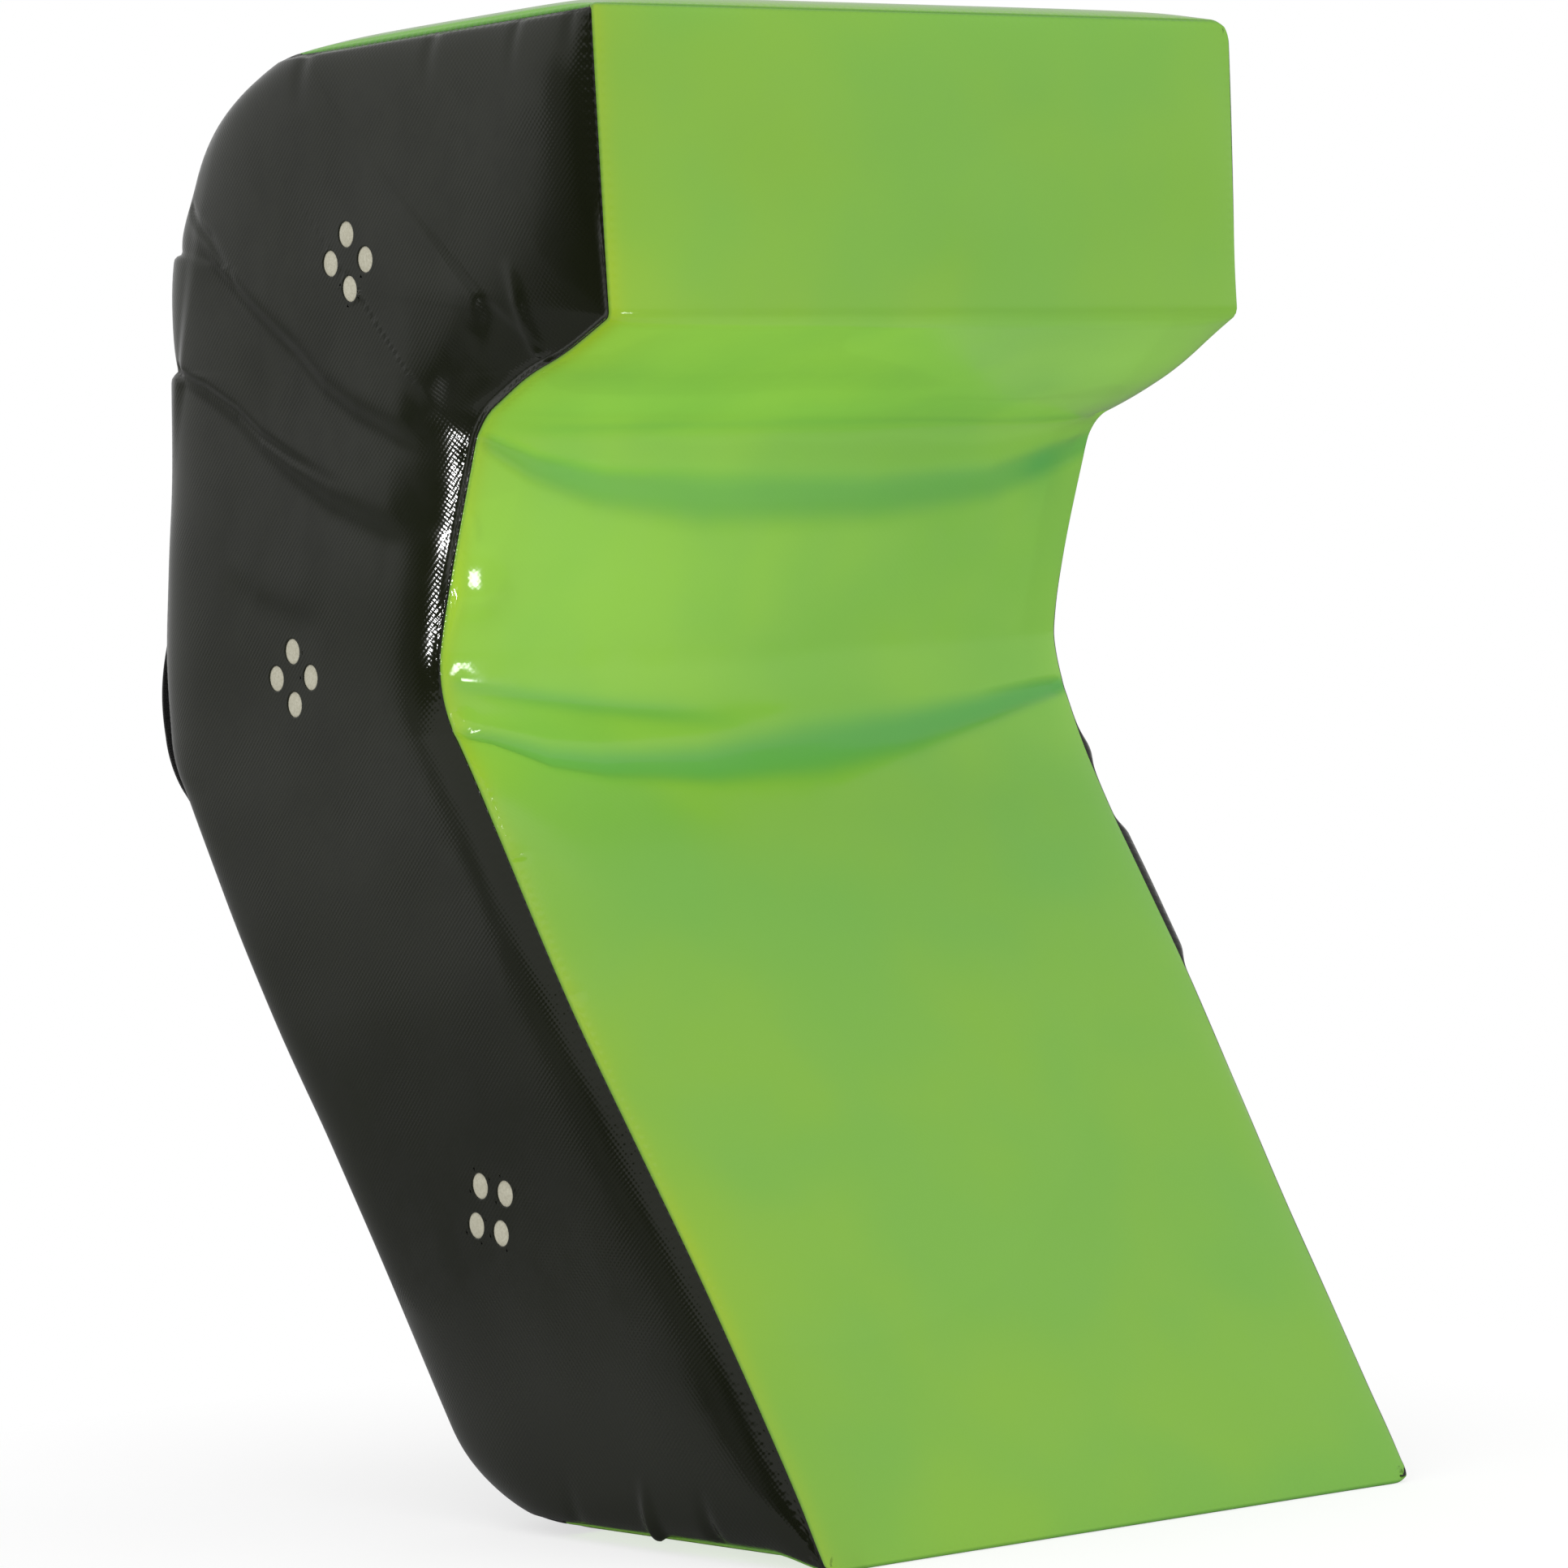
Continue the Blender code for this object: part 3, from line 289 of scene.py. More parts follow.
def roll(distance):
    """One less a falling exponential of the distance from a seam: the round rise of a filled face."""
    return 1 - np.exp(-np.maximum(distance, 0.0) / ROLL_REACH)


def ease(distance, reach):
    """A smooth step from nothing to one over a reach: part * part * (3 - 2 * part)."""
    part = np.clip(distance / reach, 0.0, 1.0)
    return part * part * (3 - 2 * part)


def bell(distance, half):
    """A smooth hump of height one: a falling exponential of the squared distance."""
    return np.exp(-(distance / half) ** 2)


def across_roll(across):
    """The rise over the pad's width, from the seams at across = -1 and 1."""
    return roll((1 - np.abs(across)) * PAD_WIDTH / 2)


def half_width(height):
    """Half the width between the seams, which narrows in a line towards the foot."""
    return (FOOT_WIDTH + (PAD_WIDTH - FOOT_WIDTH) * (height + PAD_HEIGHT) / PAD_HEIGHT) / 2


def from_path(places, path):
    """The distance of each place from a path of points, more than nothing on its left hand, and the share of
    the path's length passed there."""
    path = np.array(path, float)
    starts = distances(path)
    nearest = np.full(places.shape[:-1], 1e9)
    passed = np.zeros(places.shape[:-1])
    for first, second, start, length in zip(path, path[1:], starts, np.diff(starts)):
        step = unit(second - first)
        offset = places - first
        run = np.clip(offset @ step, 0.0, length)
        hand = np.where(step[0] * offset[..., 1] - step[1] * offset[..., 0] < 0, -1.0, 1.0)
        away = np.linalg.norm(offset - run[..., None] * step, axis=-1) * hand
        closer = np.abs(away) < np.abs(nearest)
        nearest = np.where(closer, away, nearest)
        passed = np.where(closer, (start + run) / starts[-1], passed)
    return nearest, passed


def fold(places, path, half, end_half, fade_in=0.08, fade_out=0.3):
    """A groove along a path: a bell of the distance from it, that widens from half to end_half and dies
    away at both ends."""
    away, passed = from_path(places, path)
    return bell(away, half + (end_half - half) * passed) * ease(passed, fade_in) * ease(1 - passed, fade_out)


def band(places, path, halves):
    """A broad stripe along a path, as wide at each of its points as its own half width."""
    away, passed = from_path(places, path)
    along = distances(np.array(path, float))
    wide = np.interp(passed, along / along[-1], halves)
    return np.exp(-(np.abs(away) / wide) ** 3)


def slump(places, path, half, end_half, reach, fade_in=0.1, fade_out=0.3):
    """A step down across a path walked from the back forwards: the hyperbolic tangent of the distance below
    it, that widens from half to end_half and dies away over a reach below it and twice as slowly above."""
    below, passed = from_path(places, path)
    wide = half + (end_half - half) * passed
    step = np.tanh(below / wide) * np.exp(-np.abs(below) / np.where(below > 0, reach, 2 * reach))
    return -0.5 * step * ease(passed, fade_in) * ease(1 - passed, fade_out)


def ripples(first, second):
    """A gentle unevenness between -1 and 1: the mean of four sines in different directions."""
    sines = ((41, 23, 0.4), (-29, 57, 2.1), (63, -38, 4.0), (18, 74, 5.2))
    return sum(np.sin(one * first + two * second + start) for one, two, start in sines) / len(sines)


def shaped(table, column, place, reach):
    """A column of a table in metres at some places: the mean of nine straight-line readings of it, spread
    evenly over a reach to each side."""
    table = np.array(table, float)
    places = [place + reach * share for share in np.linspace(-1, 1, 9)]
    return sum(np.interp(each, table[:, 0], table[:, column]) for each in places) / len(places) / 1000


def sheet_places(across, down):
    """Places on the front or back sheet in metres, across and down."""
    return np.stack((across * PAD_WIDTH / 2, down), -1)


def path_of(places):
    """A path on the front sheet, in metres."""
    return [(across * PAD_WIDTH / 2, down) for across, down in places]


def front_rise(across, down):
    """A crown that dies away at every seam, less the two folds of the waist, a wedge beside the lower one and
    the front's sunk edges."""
    crown = FRONT_CROWN * across_roll(across) * roll(down) * roll(FRONT.length - down)
    places = sheet_places(across, down)
    upper = band(places, path_of(UPPER_BAND), UPPER_BAND_HALVES)
    lower = band(places, path_of(LOWER_BAND), LOWER_BAND_HALVES)
    wedge = fold(places, path_of(LOWER_WEDGE), 0.005, 0.010, 0.05, 0.5)
    folds = UPPER_BAND_DEPTH * upper + LOWER_BAND_DEPTH * lower + LOWER_WEDGE_DEPTH * wedge
    folds = folds * ease(1.01 - np.abs(across), 0.06)
    down = np.asarray(down, float)
    sunk = shaped(FRONT_SHAPE, 1, down, 0.016) * ease(0.7 - across, 1.7)
    sunk = sunk + shaped(FRONT_SHAPE, 2, down, 0.016) * ease(across + 0.4, 1.4)
    return crown - folds - sunk


def pucker(past):
    """A tuck across the cloth: it sinks slowly towards its lip, and comes back at once past it."""
    return np.where(past < 0, np.exp(np.minimum(past, 0) / PUCKER_LEAD), bell(past, PUCKER_LIP))


def back_rise(across, along):
    """A crown that dies away at every seam, less two tucks down the head's curve that wander and grow
    shallow towards the middle, and drag folds that run in from the straps' sewn ends."""
    ends = ease(along, HEAD_FADE) * ease(BACK_LENGTH - along, HEEL_FADE)
    middle = 1 - across * across
    upper = pucker(along - UPPER_PUCKER - 0.007 * middle * np.sin(3 * across + 0.6)) * (1 - 0.62 * middle)
    lower = pucker(along - LOWER_PUCKER - 0.009 * middle * np.sin(2 * across - 0.9)) * (1 - 0.50 * middle)
    places = sheet_places(across, along)
    drag = sum(fold(places, path, 0.005, 0.010, 0.15, 0.6) for path in BACK_FOLDS)
    clear_of_zip = 1 - (1 - ease(np.abs(places[..., 0]) - 0.014, 0.030)) * ease(along - 0.500, 0.040)
    loose = RIPPLE_HEIGHT * ripples(places[..., 0], along * 0.8) - DRAG_DEPTH * drag
    loose = loose * across_roll(across) * clear_of_zip * ends
    sunk = shaped(BACK_SHAPE, 1, np.asarray(along, float), 0.016) * across ** 2
    return BACK_CROWN * across_roll(across) * ends - PUCKER_DEPTH * (upper + lower) + loose - sunk


def side_rise(through_distance, thick, down):
    """A crown that dies away at every seam. Behind the notch it rises more slowly."""
    front = 1 - np.exp(-np.maximum(through_distance, 0.0) / (ROLL_REACH + 0.030 * bell(down - 0.195, 0.055)))
    return SIDE_CROWN * front * roll(thick - through_distance) * roll(down) * roll(FRONT.length - down)


def worn(points, wider=0.0):
    """Pad points with the corners worn round and the base's side seams lifted off the floor. In the square
    beside a corner each distance, as a share of the square, is multiplied by the root of one less half the
    other share squared, which turns the square into a quarter disc."""
    x, y, z = (points[..., axis].copy() for axis in range(3))
    wide = half_width(z) + wider
    for side, radii in zip((-1, 1), CORNER_RADII):
        for level, way, radius in ((0.0, 1, radii[0]), (-PAD_HEIGHT, -1, radii[1])):
            near_side = np.clip(1 - (wide - side * x) / radius, 0.0, 1.2)
            near_end = np.clip(1 - way * (level - z) / radius, 0.0, 1.2)
            moved_side = near_side * np.sqrt(1 - near_end ** 2 / 2)
            moved_end = near_end * np.sqrt(1 - near_side ** 2 / 2)
            x, z = x - side * (near_side - moved_side) * radius, z - way * (near_end - moved_end) * radius
    lift = (1 - ease(wide - np.abs(x), 0.030)) * (1 - ease(z + PAD_HEIGHT, 0.050))
    z = z + BASE_SEAM_LIFT * lift * ease(y - front_corners()[-1][0], 0.050)
    return np.stack((x, y, z), -1)


def outward(way):
    """The side-view direction a quarter turn anticlockwise from the direction of travel."""
    return np.stack((-way[..., 1], way[..., 0]), -1)


def pad_points(across, through, share, depth=0.0, inset=0.0):
    """Points of the filled pad. Each lies on the line from the front outline to the back one at one share of
    their lengths, moved out by the crowns, and stands across * half the width from the middle."""
    place = (np.asarray(part, float) for part in (across, through, share))
    across, through, share = np.broadcast_arrays(*place)
    down, along = share * FRONT.length, share * BACK_LENGTH
    front_line, front_way = FRONT.at(down)
    back_line, back_way = AROUND.at(TOP_LINE + along)
    thick = np.linalg.norm(back_line - front_line, axis=-1)
    front = front_line - outward(front_way) * (front_rise(across, down) - depth)[..., None]
    back = back_line + outward(back_way) * (back_rise(across, along) - depth)[..., None]
    point = front + (back - front) * through[..., None]
    lift = TOP_CROWN * across_roll(across) * roll(through * TOP_LINE) * roll((1 - through) * TOP_LINE)
    lift = lift * np.maximum(0.0, 1 - down / TOP_FADE)
    wider = shaped(FRONT_SHAPE, 3, down, 0.030)
    wide = half_width(point[..., 1]) + wider - inset + side_rise(through * thick, thick, down)
    return worn(np.stack((across * wide, point[..., 0], point[..., 1] + lift), -1), wider) - HOLD


def hold_point():
    """The place on the back between the straps that is the row's origin."""
    along = STRAP_START + STRAP_ANCHOR + STRAP_SPAN / 2
    point, way = AROUND.at(TOP_LINE + along)
    return np.array((0.0, *(point + outward(way) * BACK_CROWN * across_roll(0.0))))


HOLD = hold_point()


def steps(length, low=True, high=True, pitch=CLOTH_STEP):
    """Distances from nothing to a length, a pitch apart, and closer beside each seam."""
    near = np.array(SEAM_STEPS)
    first = near if low else near[:1]
    last = length - (near if high else near[:1])[::-1]
    count = max(1, math.ceil((last[0] - first[-1]) / pitch))
    return np.concatenate((first, np.linspace(first[-1], last[0], count + 1)[1:-1], last))


def curl(distance):
    """How far a rolled edge has turned in: a quarter circle of the seam's radius."""
    left = np.clip(SEAM_RADIUS - distance, 0.0, SEAM_RADIUS)
    return SEAM_RADIUS - np.sqrt(SEAM_RADIUS ** 2 - left ** 2)


def facing(points, side):
    """Unit normals of a grid: the cross product of its two directions, turned to the given side."""
    normal = unit(np.cross(np.gradient(points, axis=0), np.gradient(points, axis=1)))
    return normal * np.sign(np.mean(normal @ np.array(side, float)))


def over_back(across, along, high):
    """Points over the back, from metres across, metres along it and a height off it."""
    return pad_points(2 * across / PAD_WIDTH, 1.0, along / BACK_LENGTH, -high)


def placed(name, data):
    """A new object in the scene."""
    made = bpy.data.objects.new(name, data)
    bpy.context.scene.collection.objects.link(made)
    return made


def mesh_piece(name, vertices, faces, finish, uv=None, marks=None):
    """A smooth mesh from arrays, with its cloth coordinates and marks, that rides on the pad."""
    mesh = bpy.data.meshes.new(name)
    faces = faces.tolist() if isinstance(faces, np.ndarray) else faces
    mesh.from_pydata(vertices.reshape(-1, 3).tolist(), [], faces)
    mesh.update()
    if uv is not None:
        loops = np.zeros(len(mesh.loops), int)
        mesh.loops.foreach_get("vertex_index", loops)
        layer = mesh.uv_layers.new(name="cloth")
        layer.data.foreach_set("uv", uv.reshape(-1, 2)[loops].astype(np.float32).ravel())
    for key, values in (marks or {}).items():
        mark = mesh.attributes.new(key, "FLOAT", "POINT")
        mark.data.foreach_set("value", np.asarray(values, np.float32).ravel())
    mesh.shade_smooth()
    mesh.materials.append(finish)
    made = placed(name, mesh)
    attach(made, "pad")
    return made


def face_way(points, faces):
    """The way each four-sided face looks: the cross product of its two diagonals."""
    one, two, three, four = (points[corner] for corner in np.moveaxis(np.asarray(faces), -1, 0))
    return np.cross(three - one, four - two)


def quads(points, side):
    """The four-sided faces of a grid of points, wound so that they face a side."""
    index = np.arange(points[..., 0].size).reshape(points.shape[:2])
    faces = np.stack((index[:-1, :-1], index[:-1, 1:], index[1:, 1:], index[1:, :-1]), -1).reshape(-1, 4)
    if np.sum(face_way(points.reshape(-1, 3), faces) @ np.array(side, float)) < 0:
        faces = faces[:, ::-1]
    return faces


class Panel:
    """One cut piece of the cover as a grid: its points, its outward normals, its distances from its four
    edges in metres, and the height of its folds."""

    def __init__(self, points, side, edges, uv):
        self.points, self.side, self.edges, self.uv = points, side, edges, uv
        self.normal = facing(points, side)
        self.height = np.zeros(points.shape[:2])
        self.marks = {key: np.zeros(points.shape[:2]) for key in ("crease", "painted_seam_light")}

    def closed(self):
        """The grid with its edges rolled in by a quarter circle and then tucked behind the seam, and with
        each point's distance from the nearest seam and along it. Beside a corner the normals turn to the
        panel's own side, because a worn corner has none of its own."""
        depth = sum(curl(edge) for edge in self.edges)
        flat = np.stack([np.broadcast_to(edge, depth.shape) for edge in self.edges])
        nearest = flat.argmin(axis=0)
        seam = flat.min(axis=0)
        run = np.where(nearest < 2, flat[2], flat[0])
        stand = self.height * ease(seam, 0.006) - depth
        grids = {"seam": seam, "run": run, **self.marks}

        def wide(values):
            """A grid with its edge values repeated once all round."""
            return np.pad(values, ((1, 1), (1, 1)) + ((0, 0),) * (values.ndim - 2), mode="edge")

        tuck = np.full(np.array(stand.shape) + 2, TUCK)
        tuck[1:-1, 1:-1] = 0.0
        plain = unit(np.array(self.side, float))
        corner = bell(np.sort(flat, axis=0)[1], CORNER_REACH)[..., None]
        normal = unit(self.normal * (1 - corner) + plain * corner)
        points = wide(self.points) + wide(normal) * (wide(stand) - tuck)[..., None]
        for turn in (points, points[::-1], points.swapaxes(0, 1), points.swapaxes(0, 1)[::-1]):
            inward = turn[7] - turn[1]
            turn[0] += TUCK_LEAN * inward / np.maximum(np.linalg.norm(inward, axis=-1, keepdims=True), 1e-9)
        return points, wide(self.uv), {key: wide(values) for key, values in grids.items()}

    def make(self, name, node, finish, slot):
        """The panel as a piece of the pad, in its solid's place."""
        points, uv, marks = self.closed()
        faces = quads(points, self.side)
        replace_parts(mesh_piece(name, points, faces, finish, uv, marks), node)


def grid(rows, columns):
    """Two arrays of one shape from a column of row values and a row of column values."""
    return np.broadcast_arrays(np.asarray(rows, float)[:, None], np.asarray(columns, float)[None, :])


def sheet(length, width, side, points_at):
    """A panel from seam to seam, with its grid: the run down it and the place across it, in metres, and
    across from -1 to 1. Its points are worked out from across and the run."""
    run, beside = grid(steps(length), steps(width))
    across = 2 * beside / width - 1
    points = points_at(across, run)
    edges = (run, length - run, beside, width - beside)
    return Panel(points, side, edges, np.stack((points[..., 0], run), -1)), run, beside, across


# Finishes


# The vinyl: its weave's repeat, the stitches beside a seam (their pitch, how far in they lie, how fast a
# dimple fades from their line, how deep it is, and how high the cloth gathers), the height of its orange
# peel, how far the darkening beside a seam reaches, the share of clouds in its colour, and how much painted
# light lifts its colour where shade falls.
WEAVE_PITCH = 0.0034
STITCH_PITCH = 0.006
STITCH_LINE = 0.0026
STITCH_FALL = 900000.0
DIMPLE_DEPTH = 0.00009
GATHER_HEIGHT = 0.00010
PEEL_HEIGHT = 0.00003
SEAM_DARK_REACH = 0.0022
CLOUD_SHARE = 0.25
PAINTED_LIGHT_GAIN = 1.42
PAINTED_LIGHT_LIFT = 0.026

# The webbing's and the zip tape's ribs and picks.
RIB_PITCH = 0.0025
PICK_PITCH = 0.0013
TAPE_RIB_PITCH = 0.0016
TAPE_PICK_PITCH = 0.0008


def socket_or_value(tree, node, key, value):
    """Joins a socket to an input, or sets the input's own number or colour."""
    if isinstance(value, bpy.types.NodeSocket):
        tree.links.new(value, node.inputs[key])
    else:
        node.inputs[key].default_value = value


def wire(tree, kind, inputs, **settings):
    """A shader node with its settings and inputs."""
    node = tree.nodes.new(kind)
    for key, value in settings.items():
        setattr(node, key, value)
    for key, value in inputs.items():
        socket_or_value(tree, node, key, value)
    return node


def maths(tree, operation, first, second=0.0, third=0.0):
    """One step of arithmetic between sockets or numbers."""
    return wire(tree, "ShaderNodeMath", {0: first, 1: second, 2: third}, operation=operation).outputs[0]


def product(tree, first, *others):
    """Sockets or numbers multiplied in turn."""
    for other in others:
        first = maths(tree, "MULTIPLY", first, other)
    return first


def total(tree, first, *others):
    """Sockets or numbers added in turn."""
    for other in others:
        first = maths(tree, "ADD", first, other)
    return first


def waves(tree, value, length, kind="SINE"):
    """A sine or cosine of a distance, as long as a length in metres."""
    return maths(tree, kind, product(tree, value, 2 * math.pi / length))


def mixed(tree, share, first, second):
    """A colour between two others."""
    node = wire(tree, "ShaderNodeMix", {}, data_type="RGBA")
    for key, value in ((0, share), (6, first), (7, second)):
        socket_or_value(tree, node, key, value)
    return node.outputs[2]


def banded(tree, value, low, high, to_low=0.0, to_high=1.0):
    """A value taken smoothly from one range to another."""
    return wire(tree, "ShaderNodeMapRange", {0: value, 1: low, 2: high, 3: to_low, 4: to_high},
                interpolation_type="SMOOTHSTEP").outputs[0]


def noise(tree, place, scale, detail=3.0, roughness=0.5):
    """Soft seeded noise at a place, with a scale in waves per metre."""
    return wire(tree, "ShaderNodeTexNoise", {"Vector": place, "Scale": scale, "Detail": detail,
                                            "Roughness": roughness}).outputs["Fac"]


def mark_value(tree, name):
    """A piece's own stored value."""
    return wire(tree, "ShaderNodeAttribute", {}, attribute_name=name).outputs["Fac"]


def place_on_piece(tree):
    """The place on a piece in metres."""
    return wire(tree, "ShaderNodeTexCoord", {}).outputs["Object"]


def place_on_cloth(tree):
    """The place along a piece's cloth in metres."""
    return wire(tree, "ShaderNodeUVMap", {}, uv_map="cloth").outputs["UV"]


def parts(tree, place):
    """The three parts of a place."""
    return wire(tree, "ShaderNodeSeparateXYZ", {0: place}).outputs


def start_finish(name):
    """An empty material with its tree and shader."""
    finish = bpy.data.materials.new(name)
    finish.use_nodes = True
    tree = finish.node_tree
    return finish, tree, tree.nodes["Principled BSDF"]


def dress(tree, shader, base, height, rough):
    """Gives a shader its colour, a bump whose height is in metres, and its roughness."""
    bump = wire(tree, "ShaderNodeBump", {"Height": height, "Strength": 1.0, "Distance": 1.0})
    for key, value in (("Base Color", base), ("Normal", bump.outputs["Normal"]), ("Roughness", rough)):
        socket_or_value(tree, shader, key, value)


def vinyl(name, colour, shade_and_cloud_colour, seam_light_colour, weave_height, rough):
    """Glossy coated cloth. Its colour has painted shade, darker and cooler, in the folds, a painted highlight
    beside a seam, painted light where shade falls and a darker tone right at a seam, and its bump is the
    woven scrim under the coat, the stitch dimples beside the seams and a faint orange peel."""
    finish, tree, shader = start_finish(name)
    place = place_on_piece(tree)
    across, down, _ = parts(tree, place_on_cloth(tree))
    seam, run = mark_value(tree, "seam"), mark_value(tree, "run")

    # Painted light: where shade falls, the colour is lifted to a lighter green.
    lit_colour = [PAINTED_LIGHT_GAIN * channel + PAINTED_LIGHT_LIFT for channel in colour]
    base = mixed(tree, mark_value(tree, "painted_light"), (*colour, 1.0), (*lit_colour, 1.0))
    # Painted shade: a darker, cooler green in the folds.
    base = mixed(tree, mark_value(tree, "crease"), base, (*shade_and_cloud_colour, 1.0))
    # Painted highlight: a lighter, yellower green beside a seam.
    base = mixed(tree, mark_value(tree, "painted_seam_light"), base, (*seam_light_colour, 1.0))
    cloud = banded(tree, noise(tree, place, 7.0, 2.0), 0.35, 0.65, 0.0, CLOUD_SHARE)
    base = mixed(tree, cloud, base, (*shade_and_cloud_colour, 1.0))
    # Darker right at a seam, within a couple of millimetres.
    seam_dark = banded(tree, seam, 0.0, SEAM_DARK_REACH, 0.55, 0.0)
    base = mixed(tree, seam_dark, base, (*[0.45 * channel for channel in shade_and_cloud_colour], 1.0))

    patchy = banded(tree, noise(tree, place, 30.0, 2.0), 0.3, 0.7, 0.35, 1.2)
    warp, weft = waves(tree, across, WEAVE_PITCH), waves(tree, down, WEAVE_PITCH)
    weave = product(tree, warp, weft, weave_height, patchy)
    peel = product(tree, noise(tree, place, 240.0, 3.0), PEEL_HEIGHT)
    beat = waves(tree, run, STITCH_PITCH, "COSINE")
    gather = product(tree, banded(tree, seam, 0.0, 0.009, 1.0, 0.0), beat, GATHER_HEIGHT)
    off_line = maths(tree, "SUBTRACT", seam, STITCH_LINE)
    line = maths(tree, "EXPONENT", product(tree, off_line, off_line, -STITCH_FALL))
    dimple = product(tree, total(tree, beat, 1.0), -DIMPLE_DEPTH, line)

    worn = banded(tree, noise(tree, place, 55.0, 4.0), 0.3, 0.7, rough - 0.03, rough + 0.06)
    worn = product(tree, worn, banded(tree, seam, 0.012, 0.050, 0.56, 1.0))
    dress(tree, shader, base, total(tree, weave, peel, gather, dimple), worn)
    shader.inputs["IOR"].default_value = 1.5
    finish.diffuse_color = (*colour, 1.0)
    return finish


def foam_finish():
    """Fine-celled foam: cream with a fine darker grain."""
    finish, tree, shader = start_finish("open_cell_foam")
    place = place_on_piece(tree)
    specks = noise(tree, place, 700.0, 4.0, 0.7)
    clouds = banded(tree, noise(tree, place, 90.0, 2.0), 0.3, 0.7, 0.0, 0.25)
    base = mixed(tree, banded(tree, specks, 0.35, 0.65), (0.50, 0.48, 0.37, 1), (0.62, 0.60, 0.48, 1))
    base = mixed(tree, clouds, base, (0.42, 0.40, 0.29, 1))
    dress(tree, shader, base, product(tree, specks, 0.00010), 0.9)
    finish.diffuse_color = (0.61, 0.6, 0.47, 1)
    return finish


def webbing_finish():
    """Woven polyester webbing: long ribs crossed by fine picks, dull with a little sheen."""
    finish, tree, shader = start_finish("ribbed_webbing")
    cloth = place_on_cloth(tree)
    across, along, _ = parts(tree, cloth)
    ribs = waves(tree, across, RIB_PITCH)
    slant = total(tree, along, product(tree, maths(tree, "ABSOLUTE", ribs), 0.0005))
    picks = waves(tree, slant, PICK_PITCH)
    strands = noise(tree, cloth, 900.0, 2.0)
    height = product(tree, total(tree, product(tree, ribs, 1.4), picks), 0.00010)
    height = total(tree, height, product(tree, strands, 0.00008))
    base = mixed(tree, banded(tree, picks, -1.0, 1.0), (0.008, 0.008, 0.008, 1), (0.026, 0.026, 0.025, 1))
    base = mixed(tree, banded(tree, strands, 0.5, 0.8, 0.0, 0.4), base, (0.05, 0.05, 0.048, 1))
    dress(tree, shader, base, height, 0.72)
    shader.inputs["Sheen Weight"].default_value = 0.15
    return finish


def tape_finish():
    """Flat woven zip tape: a fine herringbone."""
    finish, tree, shader = start_finish("zip_tape_weave")
    across, _, high = parts(tree, place_on_piece(tree))
    slant = total(tree, high, product(tree, waves(tree, across, TAPE_RIB_PITCH), 0.0006))
    picks = waves(tree, slant, TAPE_PICK_PITCH)
    base = mixed(tree, banded(tree, picks, -1.0, 1.0), (0.009, 0.009, 0.009, 1), (0.030, 0.030, 0.029, 1))
    dress(tree, shader, base, product(tree, picks, 0.00005), 0.8)
    return finish


def grained(name, scale, detail, dark, light, height, smooth, dull, grain=0.5, metallic=0.0):
    """A hard or fibrous finish whose colour, bump and roughness follow one fine noise."""
    finish, tree, shader = start_finish(name)
    marks = noise(tree, place_on_piece(tree), scale, detail, grain)
    base = mixed(tree, marks, (*dark, 1), (*light, 1))
    rough = smooth if smooth == dull else banded(tree, marks, 0.3, 0.7, smooth, dull)
    dress(tree, shader, base, product(tree, marks, height), rough)
    shader.inputs["Metallic"].default_value = metallic
    return finish


# Each vinyl's colours: its own, the painted shade of its folds, also used for its clouds, and its painted
# seam highlight.
GREEN_VINYL = vinyl("glossy_green_vinyl", (0.262, 0.535, 0.050), (0.125, 0.465, 0.095),
                    (0.350, 0.555, 0.030), 0.000008, 0.20)
BLACK_VINYL = vinyl("glossy_black_vinyl", (0.0098, 0.0120, 0.0046), (0.005, 0.006, 0.003),
                    (0.016, 0.018, 0.010), 0.000032, 0.19)
FOAM = foam_finish()
WEBBING = webbing_finish()
ZIP_TAPE = tape_finish()
BLACK_THREAD = grained("black_thread", 2600.0, 2.0, (0.030, 0.030, 0.0288), (0.065, 0.065, 0.0624), 0.00006,
                       0.55, 0.55)
ZIP_PLASTIC = grained("moulded_teeth", 700.0, 3.0, (0.012, 0.012, 0.012), (0.026, 0.026, 0.026), 0.00003,
                      0.28, 0.42)
ZIP_METAL = grained("plated_slider", 500.0, 5.0, (0.36, 0.36, 0.37), (0.60, 0.59, 0.58), 0.00002, 0.20, 0.38,
                    grain=0.7, metallic=1.0)


# Cover panels


def front_dents(places):
    """Small marks in the front: lumps at the waist's left edge, short puckers off the left seam, and a
    dimple at the right edge. Each is its height times a fold or a round bell."""
    seam = np.array((-PAD_WIDTH / 2, 0.0))
    height = sum(high * fold(places, np.array(path) + seam, *form) for high, path, *form in FRONT_DENTS)
    for high, place, reach in FRONT_SPOTS:
        height = height + high * bell(np.linalg.norm((places - place) / reach, axis=-1), 1.0)
    return height


